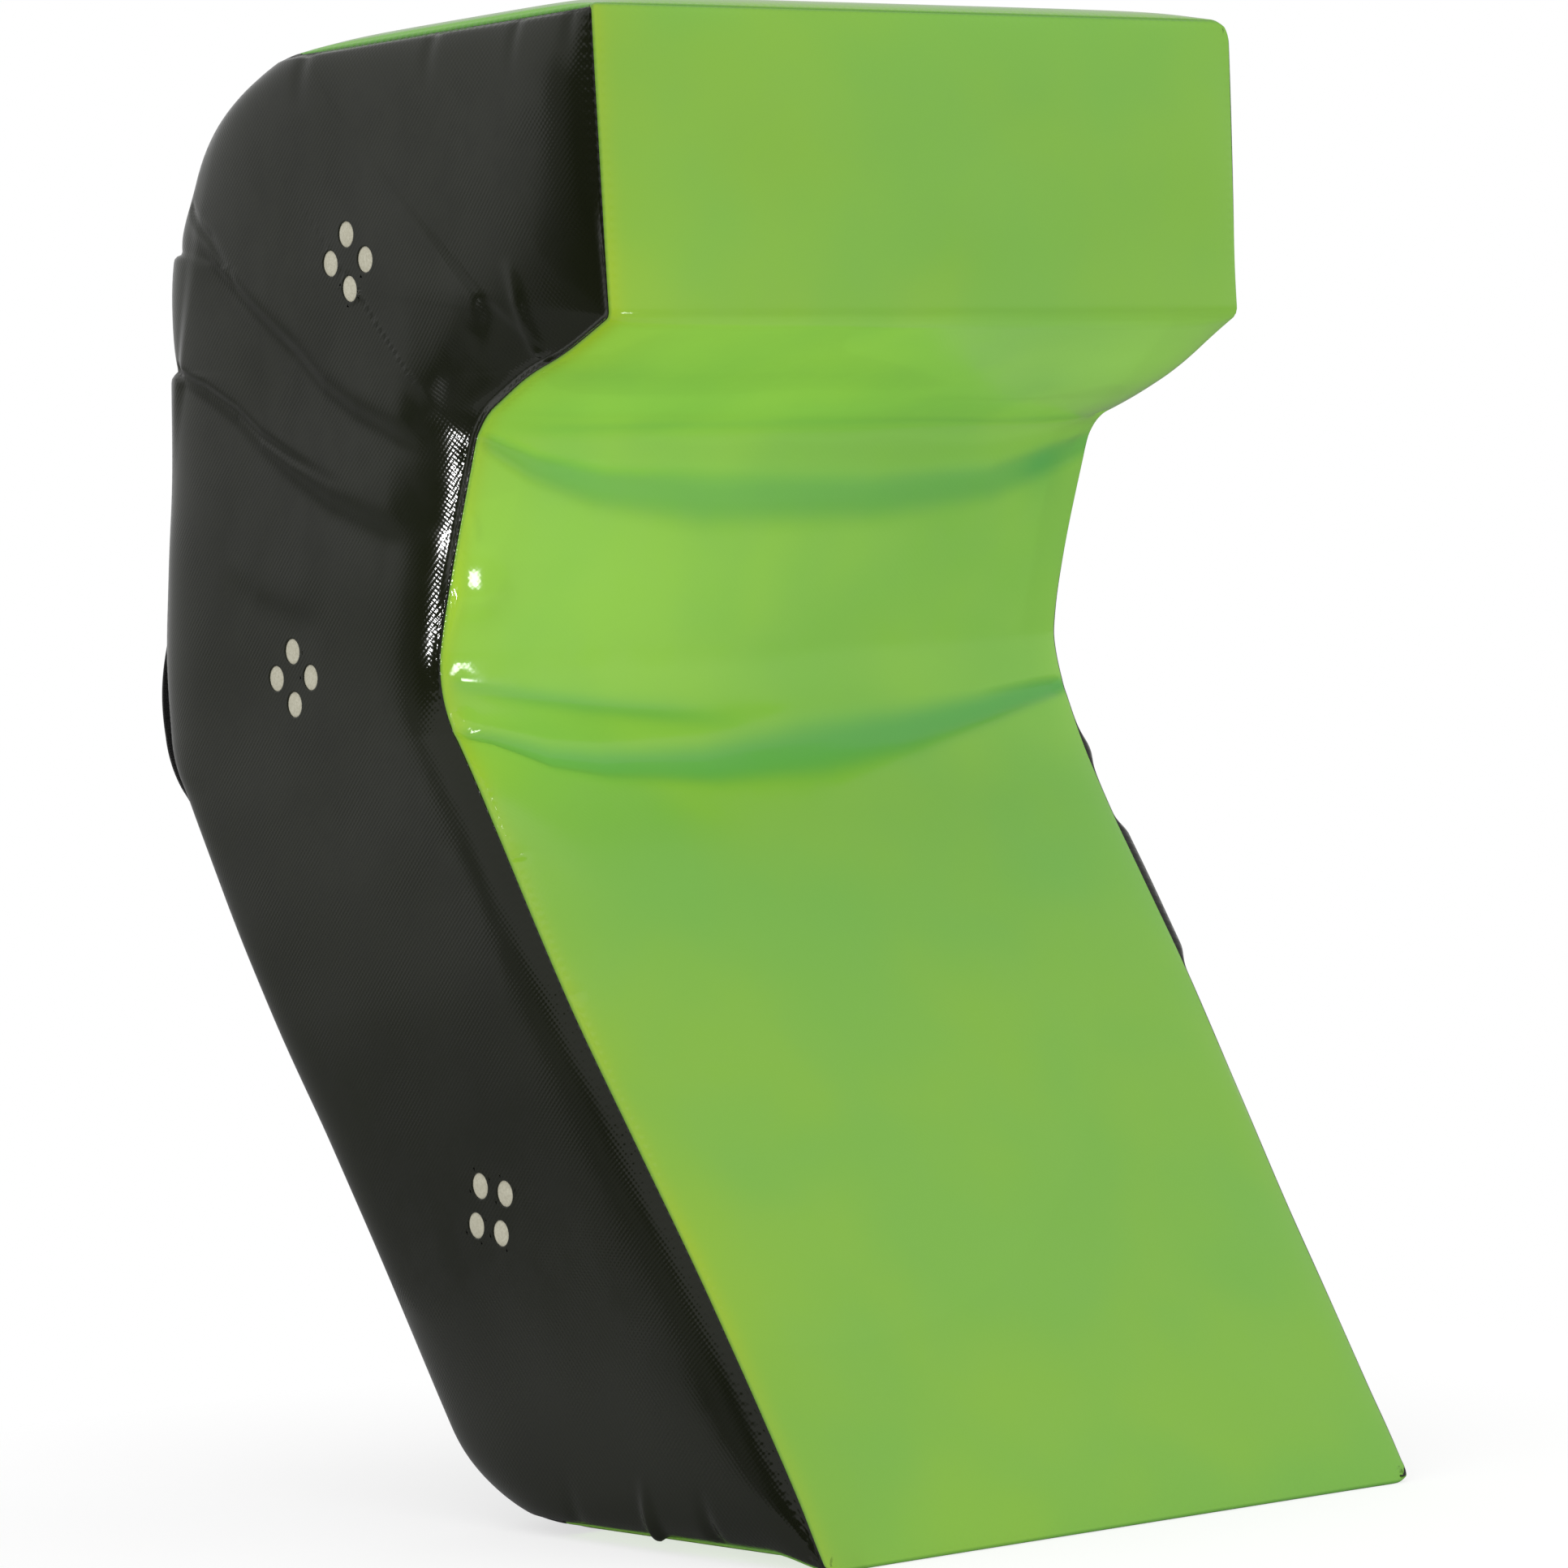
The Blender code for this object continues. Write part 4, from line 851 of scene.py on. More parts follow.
def front_cover():
    """The green face: through = 0 of the pad, from the left seam to the right and from the top to the toe."""
    panel, down, beside, across = sheet(FRONT.length, PAD_WIDTH, (0, -1, 0),
                                        lambda part, run: pad_points(part, 0.0, run / FRONT.length))
    places = sheet_places(across, down)
    # The colour's painted shade: darker, cooler bands along the waist's folds, its wedge, the notch line and
    # a spot below the notch, and a broad painted shade towards the right and over the leg.
    upper = band(places, path_of(UPPER_BAND), UPPER_BAND_HALVES)
    lower = band(places, path_of(LOWER_BAND), LOWER_BAND_HALVES) * (0.75 + 0.25 * ease(across + 0.9, 0.8))
    wedge = fold(places, path_of(LOWER_WEDGE), 0.004, 0.010, 0.05, 0.4)
    notch = fold(places, path_of(NOTCH_LINE), 0.004, 0.006, 0.1, 0.1)
    patch = bell(np.linalg.norm(places - (0.190, 0.332), axis=-1), 0.016)
    broad_painted_shade = 0.03 + 0.12 * ease(across + 0.3, 1.2) + 0.14 * bell(down - 0.60, 0.06) * ease(across + 1, 0.5)
    folds = 0.55 * upper + 0.80 * lower + 0.45 * wedge + 0.15 * notch + 0.3 * patch
    panel.marks["crease"] = np.clip(folds + broad_painted_shade, 0, 1)
    # Painted highlight along the left seam's roll.
    panel.marks["painted_seam_light"] = 0.75 * bell(beside, 0.008) + 0.35 * bell(beside, 0.04)
    # Painted light where shade falls: under the brow and over the waist below it.
    under_brow = ease(down - HEAD_FACE + 0.004, 0.010) * ease(0.322 - down, 0.045)
    panel.marks["painted_light"] = np.maximum(under_brow, 0.52 * ease(down - 0.25, 0.05) * ease(0.56 - down, 0.10))
    panel.height = ripples(places[..., 0], places[..., 1]) * RIPPLE_HEIGHT + front_dents(places)
    panel.make("front_cover", "front_panel", GREEN_VINYL, "green_vinyl")


def top_cover():
    """The green top: share 0 of the pad, from the front edge back to the head seam."""
    panel, _, beside, _ = sheet(TOP_LINE, PAD_WIDTH, (0, 0, 1),
                                lambda part, run: pad_points(part, run / TOP_LINE, 0.0))
    # Painted shade along the top's left seam.
    panel.marks["crease"] = 0.35 * bell(beside, 0.012)
    panel.make("top_cover", "top_panel", GREEN_VINYL, "green_vinyl")


def base_points(across, back):
    """Points of the flat base, from across and the metres back from the toe."""
    behind = front_corners()[-1][0] + TOE_SET + back * (1 - TOE_SET / BASE_LINE)
    points = np.stack((across * FOOT_WIDTH / 2, behind, np.full(back.shape, -PAD_HEIGHT)), -1)
    return worn(points) - HOLD


def base_cover():
    """The flat green base, from the toe back to the heel."""
    panel = sheet(BASE_LINE, FOOT_WIDTH, (0, 0, -1), base_points)[0]
    panel.make("base_cover", "base_panel", GREEN_VINYL, "green_vinyl")


def vent_centres():
    """The middle of each vent as (y, z) in the row's frame, four in a diamond to a group."""
    diamond = np.array(((1, 0), (-1, 0), (0, 1), (0, -1))) * (VENT_SPREAD_LONG, VENT_SPREAD_SHORT)
    return [turned(offset, turn) + (y, z) - HOLD[1:] for y, z, turn in VENT_GROUPS for offset in diamond]


def fit_terms(flat):
    """The six terms 1, y, z, yy, yz and zz of each place (y, z)."""
    y, z = flat[..., 0], flat[..., 1]
    return np.stack((np.ones(y.shape), y, z, y * y, y * z, z * z), -1)


def fitted(flat, heights):
    """The six numbers of the curved sheet nearest to some points. Its height is the sum of the numbers times
    the terms."""
    return np.linalg.lstsq(fit_terms(flat), heights, rcond=None)[0]


def on_fit(numbers, flat):
    """The height of that curved sheet over each place."""
    return fit_terms(flat) @ numbers


def punched(points, faces, uv, marks, side):
    """The panel with a round hole at each vent. The faces round a vent are taken out, and rings of new ones
    close in from their edge to the hole's rim, which turns inwards."""
    flat = points.reshape(-1, 3)
    uv = uv.reshape(-1, 2)
    marks = {key: np.asarray(values, float).ravel() for key, values in marks.items()}
    middles = flat[faces].mean(axis=1)
    discs = []
    for centre in vent_centres():
        near = np.linalg.norm(middles[:, 1:] - centre, axis=1) < VENT_RADIUS + VENT_MARGIN
        gone, kept = np.unique(faces[near]), faces[~near]
        loop = np.intersect1d(gone, np.unique(kept))
        offset = flat[loop][:, 1:] - centre
        order = np.argsort(np.arctan2(offset[:, 1], offset[:, 0]))
        loop, offset = loop[order], offset[order]
        ways = unit(offset)
        local = fitted(flat[loop][:, 1:] - centre, flat[loop][:, 0])
        before = loop
        new_faces = []
        for out, lift in VENT_RINGS:
            plane = ways * (VENT_RADIUS + out)
            ring = np.column_stack((on_fit(local, plane) + side * lift, plane + centre))
            here = np.arange(len(flat), len(flat) + len(loop))
            flat = np.concatenate((flat, ring))
            uv = np.concatenate((uv, uv[loop] + plane - offset))
            marks = {key: np.concatenate((values, values[loop])) for key, values in marks.items()}
            after, ahead = np.roll(before, -1), np.roll(here, -1)
            new_faces.append(np.stack((before, after, ahead, here), -1)[:, ::side])
            before = here
        faces = np.concatenate((kept, *new_faces))
        middles = flat[faces].mean(axis=1)
        discs.append((centre, local))
    return flat, faces, uv, marks, discs


def side_height(y, z):
    """The extra folds of a side, from places in the side view: creases that run in from the back edge, the
    cloth slumped under them, gathers below the top seam and puckers over the base seam."""
    places = np.stack((y, z), -1)
    height = SIDE_RIPPLE_HEIGHT * ripples(y * 1.3, z)
    height = height - NOTCH_SINK * bell(from_path(places, NOTCH_SEAM)[0], NOTCH_SINK_REACH)
    height = height + sum(high * fold(places, path, *form) for high, path, *form in SIDE_FOLDS)
    height = height + sum(high * slump(places, path, *form) for high, path, *form in SIDE_SLUMPS)
    for at, high, half in GATHERS:
        height = height + high * bell(y - at, half) * (1 - ease(-z, 0.040))
    for at, high, half in BASE_PUCKERS:
        leaning = at + 0.1 * (z + PAD_HEIGHT)
        height = height + high * bell(y - leaning, half) * (1 - ease(z + PAD_HEIGHT, 0.045))
    return height


def right_bulge(down, through_distance):
    """Where the right side swells out past the green edge, beside the bend and down the leg."""
    along = bell(down - 0.516, 0.012) * 0.8 + ease(down - 0.560, 0.015) * ease(0.672 - down, 0.020)
    return BULGE_HEIGHT * along * (1 - np.exp(-through_distance / 0.0030)) * np.exp(-through_distance / 0.030)


def side_cover(name, side, node):
    """One black side: across = side, from the front seam to the back and from the top to the base. Places
    between the seams are spread in proportion to the pad's thickness there."""
    down = steps(FRONT.length)
    share = down / FRONT.length
    widest = steps(SIDE_SPAN)
    thick = np.linalg.norm(AROUND.at(TOP_LINE + share * BACK_LENGTH)[0] - FRONT.at(down)[0], axis=-1)
    thick, fine = thick[:, None], SEAM_STEPS[-1]
    through = fine + (widest - fine) / (SIDE_SPAN - 2 * fine) * (thick - 2 * fine)
    through = np.where(widest <= fine, widest, through)
    through = np.where(widest >= SIDE_SPAN - fine, thick - (SIDE_SPAN - widest), through)
    points = pad_points(float(side), through / thick, share[:, None])
    rows = np.broadcast_to(down[:, None], through.shape)
    edges = (rows, FRONT.length - rows, through, thick - through)
    panel = Panel(points, (side, 0, 0), edges, points[..., 1:])
    panel.height = side_height(points[..., 1] + HOLD[1], points[..., 2] + HOLD[2])
    if side > 0:
        panel.points = points + np.array([1.0, 0.0, 0.0]) * right_bulge(rows, through)[..., None]
    points, uv, marks = panel.closed()
    faces = quads(points, panel.side)
    flat, faces, uv, marks, discs = punched(points, faces, uv, marks, side)
    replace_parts(mesh_piece(name, flat, faces, BLACK_VINYL, uv, marks), node)
    return discs


def back_cover_upper():
    """The black back of the head and waist: through = 1 of the pad, from the top seam to the bend's seam."""
    panel = sheet(BEND_AT, PAD_WIDTH, (0, 1, 0),
                  lambda part, run: pad_points(part, 1.0, run / BACK_LENGTH))[0]
    panel.make("back_cover_upper", "back_panel_upper", BLACK_VINYL, "black_vinyl")


def slot_half(along):
    """Half the slot between the lower back panels: open along the zip, closed past its ends."""
    into = ease(along - ZIP_START + SLOT_TAPER, SLOT_TAPER)
    out = ease(ZIP_START + ZIP_LENGTH + SLOT_TAPER - along, SLOT_TAPER)
    return GAP / 2 + (ZIP_SLOT - GAP) / 2 * into * out


def back_cover_lower(name, side, node):
    """One half of the black back of the leg: through = 1 of the pad, from the bend round the heel to the
    base, and from the edge beside the zip out to the side seam."""
    along, place = grid(BEND_AT + steps(BACK_LENGTH - BEND_AT), steps(PAD_WIDTH / 2))
    inner = slot_half(along)
    half = PAD_WIDTH / 2
    from_middle = np.where(place < SEAM_STEPS[-1], inner + place, place + inner * (1 - place / half))
    from_middle = np.minimum(np.maximum.accumulate(from_middle, axis=1), half)
    points = over_back(side * from_middle, along, 0.0)
    edges = (along - BEND_AT, BACK_LENGTH - along, from_middle - inner, half - from_middle)
    panel = Panel(points, (0, 1, -0.7), edges, np.stack((points[..., 0], along), -1))
    panel.make(name, node, BLACK_VINYL, "black_vinyl")


front_cover()
top_cover()
base_cover()
left_discs = side_cover("side_cover_left", -1, "side_panel_left")
right_discs = side_cover("side_cover_right", 1, "side_panel_right")
back_cover_upper()
back_cover_lower("back_cover_lower_left", -1, "back_panel_lower_left")
back_cover_lower("back_cover_lower_right", 1, "back_panel_lower_right")


# Foam


CORE_DEPTH = 0.0048
DOME_MARGIN = 0.0012
DOME_DEPTH = 0.0012
DOME_RISE = 0.0019


def core_block(name, low, high, discs, node):
    """One block of the foam core: the pad's form, less the cover, between two shares, closed by a flat face
    at each end, with a shallow dome of foam in each vent."""
    shares, around, deep = np.linspace(low, high, 31), np.linspace(-1, 1, 31), np.linspace(0, 1, 21)
    rows, columns = grid(shares, deep)
    sheets = [((across, columns, rows), (across, 0, 0)) for across in (-1.0, 1.0)]
    rows, columns = grid(shares, around)
    sheets += [((columns, through, rows), side) for through, side in ((0.0, (0, -1, 0)), (1.0, (0, 1, -0.4)))]
    rows, columns = grid(deep, around)
    sheets += [((columns, rows, share), side) for share, side in ((low, (0, 0, 1)), (high, (0, 0, -1)))]
    vertices, faces, start = [], [], 0
    for place, side in sheets:
        points = pad_points(*place, CORE_DEPTH, CORE_DEPTH)
        faces += (quads(points, side) + start).tolist()
        vertices.append(points.reshape(-1, 3))
        start += len(vertices[-1])
    for disc in discs:
        points, dome = vent_dome(*disc)
        faces += [[index + start for index in face] for face in dome]
        vertices.append(points)
        start += len(points)
    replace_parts(mesh_piece(name, np.concatenate(vertices), faces, FOAM), node)


def vent_dome(side, centre, local):
    """A dome of foam under a vent: rings about its middle, raised by one less the squared share of its
    radius, over the fitted surface of the cover."""
    rings, spokes = 10, 36
    share = np.linspace(0.0, 1.0, rings + 1)[1:, None]
    angle = np.linspace(0, 2 * math.pi, spokes, endpoint=False)[None, :]
    reach = VENT_RADIUS + DOME_MARGIN
    plane = np.stack((reach * share * np.cos(angle), reach * share * np.sin(angle)), -1)
    x = on_fit(local, plane) + side * (DOME_RISE * (1 - share ** 2) - DOME_DEPTH)
    points = np.concatenate((x[..., None], plane + centre), -1).reshape(-1, 3)
    middle = [on_fit(local, np.zeros((1, 2)))[0] + side * (DOME_RISE - DOME_DEPTH), *centre]
    points = np.concatenate((points, [middle]))
    index = np.arange(rings * spokes).reshape(rings, spokes)
    ahead = np.roll(index, -1, axis=1)
    disc = np.stack((index[:-1], ahead[:-1], ahead[1:], index[1:]), -1).reshape(-1, 4).tolist()
    disc += [(len(points) - 1, later, first) for first, later in zip(index[0].tolist(), ahead[0].tolist())]
    inward = face_way(points, disc[0])[0] * side < 0
    return points, [face[::-1] for face in disc] if inward else disc


def discs_of(group):
    """The vents of one group on both sides."""
    four = slice(4 * group, 4 * group + 4)
    return [(-1, *disc) for disc in left_discs[four]] + [(1, *disc) for disc in right_discs[four]]


breaks = np.cumsum([run[3] for run in FRONT.runs])
NOTCH_SHARE = (breaks[2] + breaks[3]) / 2 / FRONT.length
WAIST_SHARE = (breaks[4] + breaks[5]) / 2 / FRONT.length
core_block("foam_core_head", 0.003, NOTCH_SHARE, discs_of(0), "foam_head_block")
core_block("foam_core_waist", NOTCH_SHARE, WAIST_SHARE, discs_of(1), "foam_waist_block")
core_block("foam_core_leg", WAIST_SHARE, 0.996, discs_of(2), "foam_leg_block")


# Straps and patches


STRAP_FLOOR = 2 * GAP + SKIN
STRIP_EDGE = (0.0, 0.00015, 0.0004, 0.0008, 0.0013, 0.002)
LOWER_ANCHOR = STRAP_START + STRAP_ANCHOR + STRAP_SPAN
STRAP_ROUND = 0.0009
PATCH_ROUND = 0.00035
ACROSS_PITCH = 0.0014
ALONG_PITCH = 0.0016

# The thread: how far its rows lie from an edge, its radius, how deep its stitches' ends dive, and how high
# their middles rise from there. Then the rows beside the zip and over the back's seam.
BOX_INSET = 0.005
RIM_INSET = 0.0017
THREAD_RADIUS = 0.00036
STITCH_SINK = 0.00035
STITCH_RISE = 0.00075
ZIP_ROW_GAP = 0.0040
ZIP_ROW_PAST = 0.0060
SEAM_ROW_HALF = 0.214
SEAM_ROW_GAP = 0.0042

# The cloth behind the zip's ends.
FACING_HALF = 0.0115
FACING_LENGTH = 0.0175
FACING_HEIGHTS = (-0.0034, -0.0022)


def strap_lift(along):
    """The bow of a strap off the back: a squared sine over its free span, leant towards its upper end."""
    into = np.clip((along - STRAP_START - STRAP_ANCHOR) / STRAP_SPAN, 0.0, 1.0)
    return STRAP_LIFT * np.sin(math.pi * into ** 0.85) ** 2


def slab(name, across, along, low, high, finish, slot, edge):
    """A thin strip over the back, closed all round: its outer face at a high height over the back, its inner
    face at a low one, and edges rounded by a quarter circle within the edge distance."""
    run, beside = grid(along, across)
    near = np.minimum(np.minimum(beside - across[0], across[-1] - beside),
                      np.minimum(run - along[0], along[-1] - run))
    left = np.clip(edge - near, 0.0, edge)
    drop = edge - np.sqrt(np.maximum(edge ** 2 - left ** 2, 0.0))
    outer, inner = over_back(beside, run, high - drop), over_back(beside, run, low + drop)
    side = np.array((0, 1, -0.2))
    faces = [quads(outer, side), quads(inner, -side) + run.size]
    index = np.arange(run.size).reshape(run.shape)
    loop = np.concatenate((index[0], index[1:, -1], index[-1, -2::-1], index[-2:0:-1, 0]))
    ahead = np.roll(loop, -1)
    wall = np.stack((loop, ahead, ahead + run.size, loop + run.size), -1)
    points = np.concatenate((outer.reshape(-1, 3), inner.reshape(-1, 3)))
    away = points[wall[0]].mean(axis=0) - points[wall[len(wall) // 2]].mean(axis=0)
    faces.append(wall if face_way(points, wall[0]) @ away >= 0 else wall[:, ::-1])
    uv = np.tile(np.stack((beside, run), -1).reshape(-1, 2), (2, 1))
    seam = np.tile(near.ravel(), 2)
    marks = {"seam": seam + 0.004, "run": uv[:, 1], "crease": seam * 0, "painted_seam_light": seam * 0}
    return mesh_piece(name, points, np.concatenate(faces), finish, uv, marks)


def strip_steps(length, pitch):
    """Distances over a strip, a pitch apart and closer at its two edges."""
    near = np.array(STRIP_EDGE)
    count = math.ceil((length - 2 * near[-1]) / pitch)
    middle = np.linspace(near[-1], length - near[-1], count + 1)[1:-1]
    return np.concatenate((near, middle, length - near[::-1]))


def strap_places(side, margin):
    """Places across the pad under a strap, from a margin outside it to a margin inside it."""
    inner = PAD_WIDTH / 2 - STRAP_INSET - STRAP_WIDTH - margin
    return np.sort(side * (inner + strip_steps(STRAP_WIDTH + 2 * margin, ACROSS_PITCH)))


def arm_strap(name, side, node):
    """A webbing strap, sewn flat at both ends and bowed over the bend between them."""
    along = STRAP_START + strip_steps(2 * STRAP_ANCHOR + STRAP_SPAN, ALONG_PITCH)
    low = STRAP_FLOOR + strap_lift(along)[:, None]
    across, high = strap_places(side, 0.0), low + STRAP_THICKNESS
    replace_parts(slab(name, across, along, low, high, WEBBING, "webbing", STRAP_ROUND), node)


def strap_patch(name, side, start, node):
    """A vinyl patch between the back and one sewn end of a strap."""
    along = start - PATCH_MARGIN + strip_steps(STRAP_ANCHOR + 2 * PATCH_MARGIN, ALONG_PITCH)
    across = strap_places(side, PATCH_MARGIN)
    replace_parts(slab(name, across, along, GAP, GAP + SKIN, BLACK_VINYL, "black_vinyl", PATCH_ROUND), node)


def stitches(name, rows, pitch=0.0042):
    """Thread stitches along rows over the back. Each is a bent tube of five rings: the row's place at each
    ring, raised by a sine over the stitch's length, so that both ends dive into the cloth."""
    share = np.linspace(0, 1, 5)
    rise = np.sin(math.pi * share)
    angle = np.linspace(0, 2 * math.pi, 6, endpoint=False)
    vertices = []
    for corners, lift in rows:
        path = np.array(corners, float)
        far = distances(path)
        count = max(1, round(far[-1] / pitch))
        along_row = (np.arange(count)[:, None] + 0.10 + 0.80 * share[None, :]) * far[-1] / count
        beside, run = (np.interp(along_row, far, path[:, axis]) for axis in (0, 1))
        high = lift - STITCH_SINK + STITCH_RISE * rise[None, :]
        centre = over_back(beside, run, high)
        up = unit(over_back(beside, run, high + 0.001) - centre)
        aside = np.cross(unit(np.gradient(centre, axis=1)), up)
        radius = THREAD_RADIUS * (0.55 + 0.45 * rise)[None, :, None, None]
        ring = aside[:, :, None] * np.cos(angle)[:, None] + up[:, :, None] * np.sin(angle)[:, None]
        vertices.append((centre[:, :, None] + ring * radius).reshape(-1, 3))
    vertices = np.concatenate(vertices)
    index = np.arange(len(vertices)).reshape(-1, 5, 6)
    ahead = np.roll(index, -1, axis=2)
    tubes = np.stack((index[:, :-1], index[:, 1:], ahead[:, 1:], ahead[:, :-1]), -1).reshape(-1, 4)
    middle = vertices[tubes[0]].mean(axis=0) - vertices[index[0]].reshape(-1, 3).mean(axis=0)
    if face_way(vertices, tubes[0]) @ middle < 0:
        tubes, index = tubes[:, ::-1], index[:, :, ::-1]
    faces = tubes.tolist() + index[:, 0, :].tolist() + index[:, -1, ::-1].tolist()
    mesh_piece(name, vertices, faces, BLACK_THREAD)


def boxed(near, far, start, end):
    """The corners of a box of stitches, back to its first."""
    return [(near, start), (far, start), (far, end), (near, end), (near, start)]


def strap_rows(side):
    """A box and a cross over each sewn end of a strap, and a line round each patch."""
    outer = side * (PAD_WIDTH / 2 - STRAP_INSET)
    inner = outer - side * STRAP_WIDTH
    near, far, rim = inner + side * BOX_INSET, outer - side * BOX_INSET, PATCH_MARGIN - RIM_INSET
    rows = []
    for start in (STRAP_START, LOWER_ANCHOR):
        end = start + STRAP_ANCHOR
        first, last = start + BOX_INSET, end - BOX_INSET
        crossed = [[(near, first), (far, last)], [(near, last), (far, first)]]
        rows += [(row, STRAP_FLOOR + STRAP_THICKNESS) for row in [boxed(near, far, first, last), *crossed]]
        rows.append((boxed(inner - side * rim, outer + side * rim, start - rim, end + rim), GAP + SKIN))
    return rows


def zip_rows():
    """A line of stitches beside each edge of the zip's slot, and one above and one below the back's seam."""
    half = ZIP_SLOT / 2 + ZIP_ROW_GAP
    first, last = ZIP_START - ZIP_ROW_PAST, ZIP_START + ZIP_LENGTH + ZIP_ROW_PAST
    rows = [[(side * half, first), (side * half, last)] for side in (-1, 1)]
    for place in (BEND_AT - SEAM_ROW_GAP, BEND_AT + SEAM_ROW_GAP):
        rows.append([(-SEAM_ROW_HALF, place), (SEAM_ROW_HALF, place)])
    return [(row, 0.0) for row in rows]


def end_facing(name, start):
    """A short strip of cloth that backs the gap between the tapes past one end of the zip."""
    across = np.linspace(-FACING_HALF, FACING_HALF, 24)
    along = start + np.linspace(0.0, FACING_LENGTH, 16)
    slab(name, across, along, *FACING_HEIGHTS, BLACK_VINYL, "black_vinyl", 0.0003)


end_facing("zip_facing_upper", ZIP_START - 0.0145)
end_facing("zip_facing_lower", ZIP_START + ZIP_LENGTH - 0.0030)
for side, word in ((-1, "left"), (1, "right")):
    arm_strap("webbing_strap_" + word, side, "arm_strap_" + word)
    strap_patch("strap_backing_upper_" + word, side, STRAP_START, "strap_patch_upper_" + word)
    strap_patch("strap_backing_lower_" + word, side, LOWER_ANCHOR, "strap_patch_lower_" + word)
    stitches("strap_stitches_" + word, strap_rows(side))
stitches("zip_stitches", zip_rows(), 0.0048)


# Zip


def refinish(node, finish):
    """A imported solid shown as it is, with a finer finish."""
    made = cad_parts[node]
    made.data.materials.clear()
    made.data.materials.append(finish)


for word in ("left", "right"):
    refinish("zip_tape_" + word, ZIP_TAPE)
    refinish("zip_teeth_" + word, ZIP_PLASTIC)
for word in ("lower", "upper"):
    refinish("zip_stop_" + word, ZIP_PLASTIC)
refinish("zip_slider", ZIP_METAL)
refinish("zip_pull", ZIP_METAL)


# Studio


# The camera, fitted to the photograph: its angles in degrees, its place, and the photograph's width and the
# focal length in pixels. Then the floor: half its side, the middle of its depth, and its gap under the pad.
HEADING, PITCH, LEAN = 38.0, 1.612, -2.441
CAMERA_PLACE = (-2.29586, -3.24632, 0.05916)
PHOTO_PIXELS = 1932
FOCAL_PIXELS = 8000
FLOOR_REACH = 0.75
FLOOR_MIDDLE = -0.40
FLOOR_CLEAR = 0.0006


def camera():
    """The camera, at the photograph's angle, distance and lean."""
    heading, pitch, lean = (math.radians(angle) for angle in (HEADING, PITCH, LEAN))
    upright = Vector((0, 0, 1))
    level = Vector((math.sin(heading), math.cos(heading), 0))
    across = Vector((math.cos(heading), -math.sin(heading), 0))
    ahead = level * math.cos(pitch) - upright * math.sin(pitch)
    upward = upright * math.cos(pitch) + level * math.sin(pitch)
    right = across * math.cos(lean) + upward * math.sin(lean)
    top = upward * math.cos(lean) - across * math.sin(lean)
    data = bpy.data.cameras.new("view")
    data.sensor_width = 36.0
    data.lens = data.sensor_width * FOCAL_PIXELS / PHOTO_PIXELS
    data.clip_end = 50.0
    made = placed("view", data)
    turn = Matrix((right, top, -ahead)).transposed().to_4x4()
    made.matrix_world = Matrix.Translation(CAMERA_PLACE) @ turn
    bpy.context.scene.camera = made


def floor():
    """A pale floor that shows as white where nothing shades it."""
    finish, tree, shader = start_finish("studio_floor")
    shader.inputs["Base Color"].default_value = (0.40, 0.40, 0.40, 1)
    shader.inputs["Roughness"].default_value = 0.9
    shader.inputs["Specular IOR Level"].default_value = 0.0
    rays = wire(tree, "ShaderNodeLightPath", {}).outputs
    diffuse = product(tree, rays["Is Diffuse Ray"], 0.58)
    strength = maths(tree, "MULTIPLY_ADD", rays["Is Camera Ray"], 0.66, diffuse)
    glow = wire(tree, "ShaderNodeEmission", {"Color": (1, 1, 1, 1), "Strength": strength})
    both = wire(tree, "ShaderNodeAddShader", {0: shader.outputs[0], 1: glow.outputs[0]})
    tree.links.new(both.outputs[0], tree.nodes["Material Output"].inputs["Surface"])
    level = -PAD_HEIGHT - HOLD[2] - FLOOR_CLEAR
    turns = ((-1, -1), (1, -1), (1, 1), (-1, 1))
    corners = [(FLOOR_REACH * x, FLOOR_MIDDLE + FLOOR_REACH * y, level) for x, y in turns]
    mesh = bpy.data.meshes.new("studio_floor")
    mesh.from_pydata(corners, [], [(0, 1, 2, 3)])
    mesh.materials.append(finish)
    placed("studio_floor", mesh)


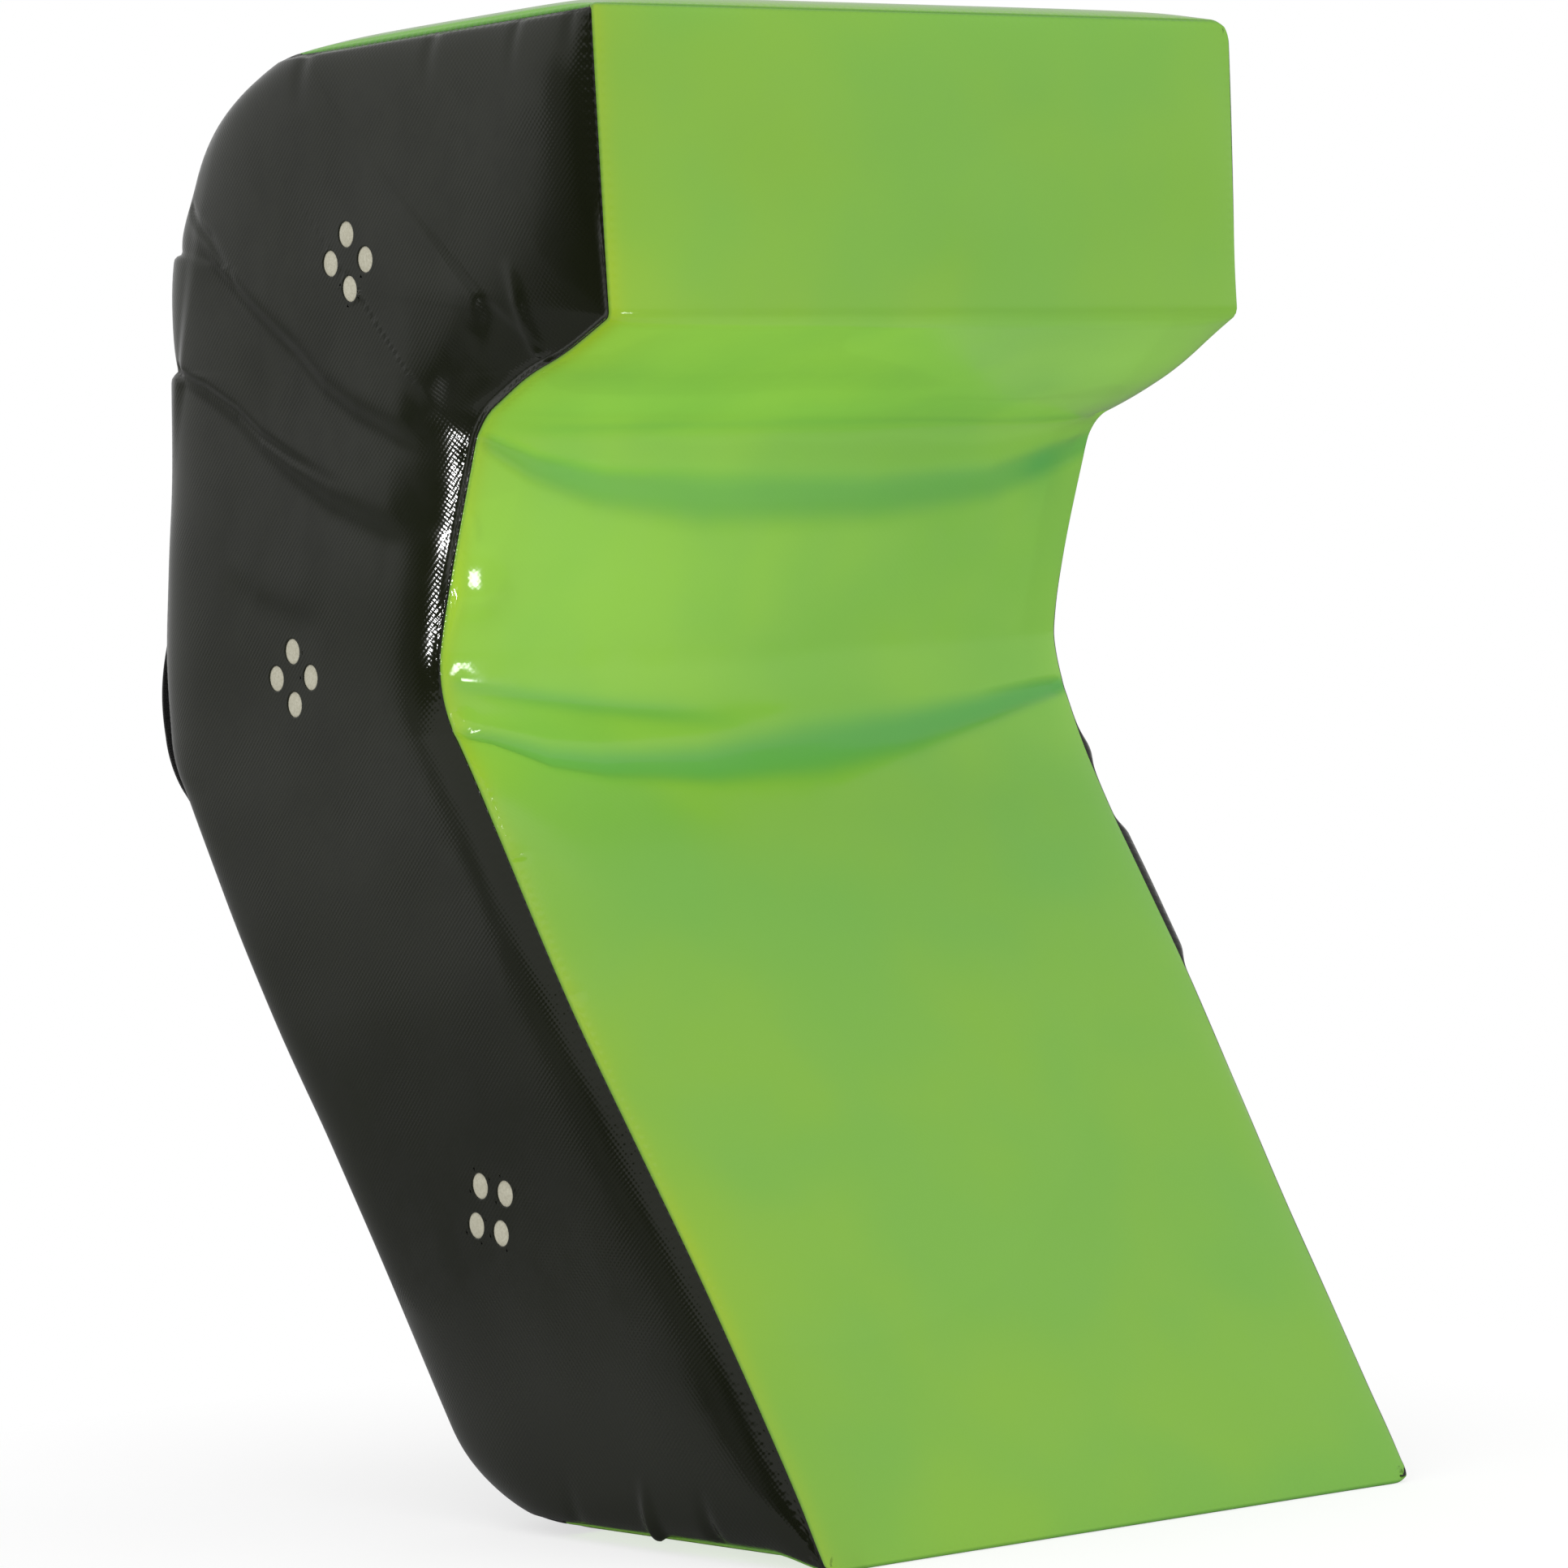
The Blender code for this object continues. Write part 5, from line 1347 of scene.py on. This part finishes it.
def lamp(name, place, target, size, power, spread=180.0):
    """A rectangular soft light at a place, turned to a target, that shines within a spread in degrees."""
    data = bpy.data.lights.new(name, "AREA")
    data.shape = "RECTANGLE"
    data.size, data.size_y = size
    data.energy = power
    data.spread = math.radians(spread)
    made = placed(name, data)
    made.location = place
    made.rotation_euler = (Vector(target) - Vector(place)).to_track_quat("-Z", "Y").to_euler()
    made.visible_camera = False


def sky():
    """An even white light all round. In reflections it is dimmer, more so low down, and it has a dark side
    to the left of the pad."""
    world = bpy.data.worlds.new("studio")
    bpy.context.scene.world = world
    world.use_nodes = True
    tree = world.node_tree
    rays = wire(tree, "ShaderNodeLightPath", {}).outputs
    way = wire(tree, "ShaderNodeTexCoord", {}).outputs["Generated"]
    high = parts(tree, way)[2]
    leftward = wire(tree, "ShaderNodeVectorMath", {0: way, 1: (-0.996, -0.087, 0.0)}, operation="DOT_PRODUCT")
    leftward = leftward.outputs["Value"]
    near, far = banded(tree, leftward, 0.63, 0.71, 0.0, 0.60), banded(tree, leftward, 0.80, 0.93, 0.0, 0.32)
    dim = total(tree, near, far)
    dark_side = product(tree, dim, banded(tree, high, 0.15, 0.25, 1.0, 0.15))
    glow = product(tree, banded(tree, high, -0.16, 0.10, 0.20, 0.54), maths(tree, "SUBTRACT", 1.0, dark_side))
    strength = maths(tree, "MULTIPLY_ADD", rays["Is Diffuse Ray"], 0.92, rays["Is Camera Ray"])
    strength = maths(tree, "MULTIPLY_ADD", rays["Is Glossy Ray"], glow, strength)
    for key, value in (("Strength", strength), ("Color", (1, 1, 1, 1))):
        socket_or_value(tree, tree.nodes["Background"], key, value)


camera()
floor()
sky()
lamp("overhead", (0.3, -0.9, 2.6), (0, 0, 0), (2.0, 2.0), 5)
lamp("side_strip", (-1.186, -0.228, -0.173), (-0.222, -0.295, 0.100), (0.035, 0.190), 0.026, 14.0)
lamp("front_spot", (0.22, -1.89, -0.30), (-0.206, -0.304, 0.082), (0.30, 0.23), 0.040, 14.0)
lamp("waist_spot", (-0.182, -1.071, 0.918), (-0.211, -0.295, 0.004), (0.05, 0.05), 0.0018, 10.0)
bpy.context.scene.view_settings.view_transform = "Standard"
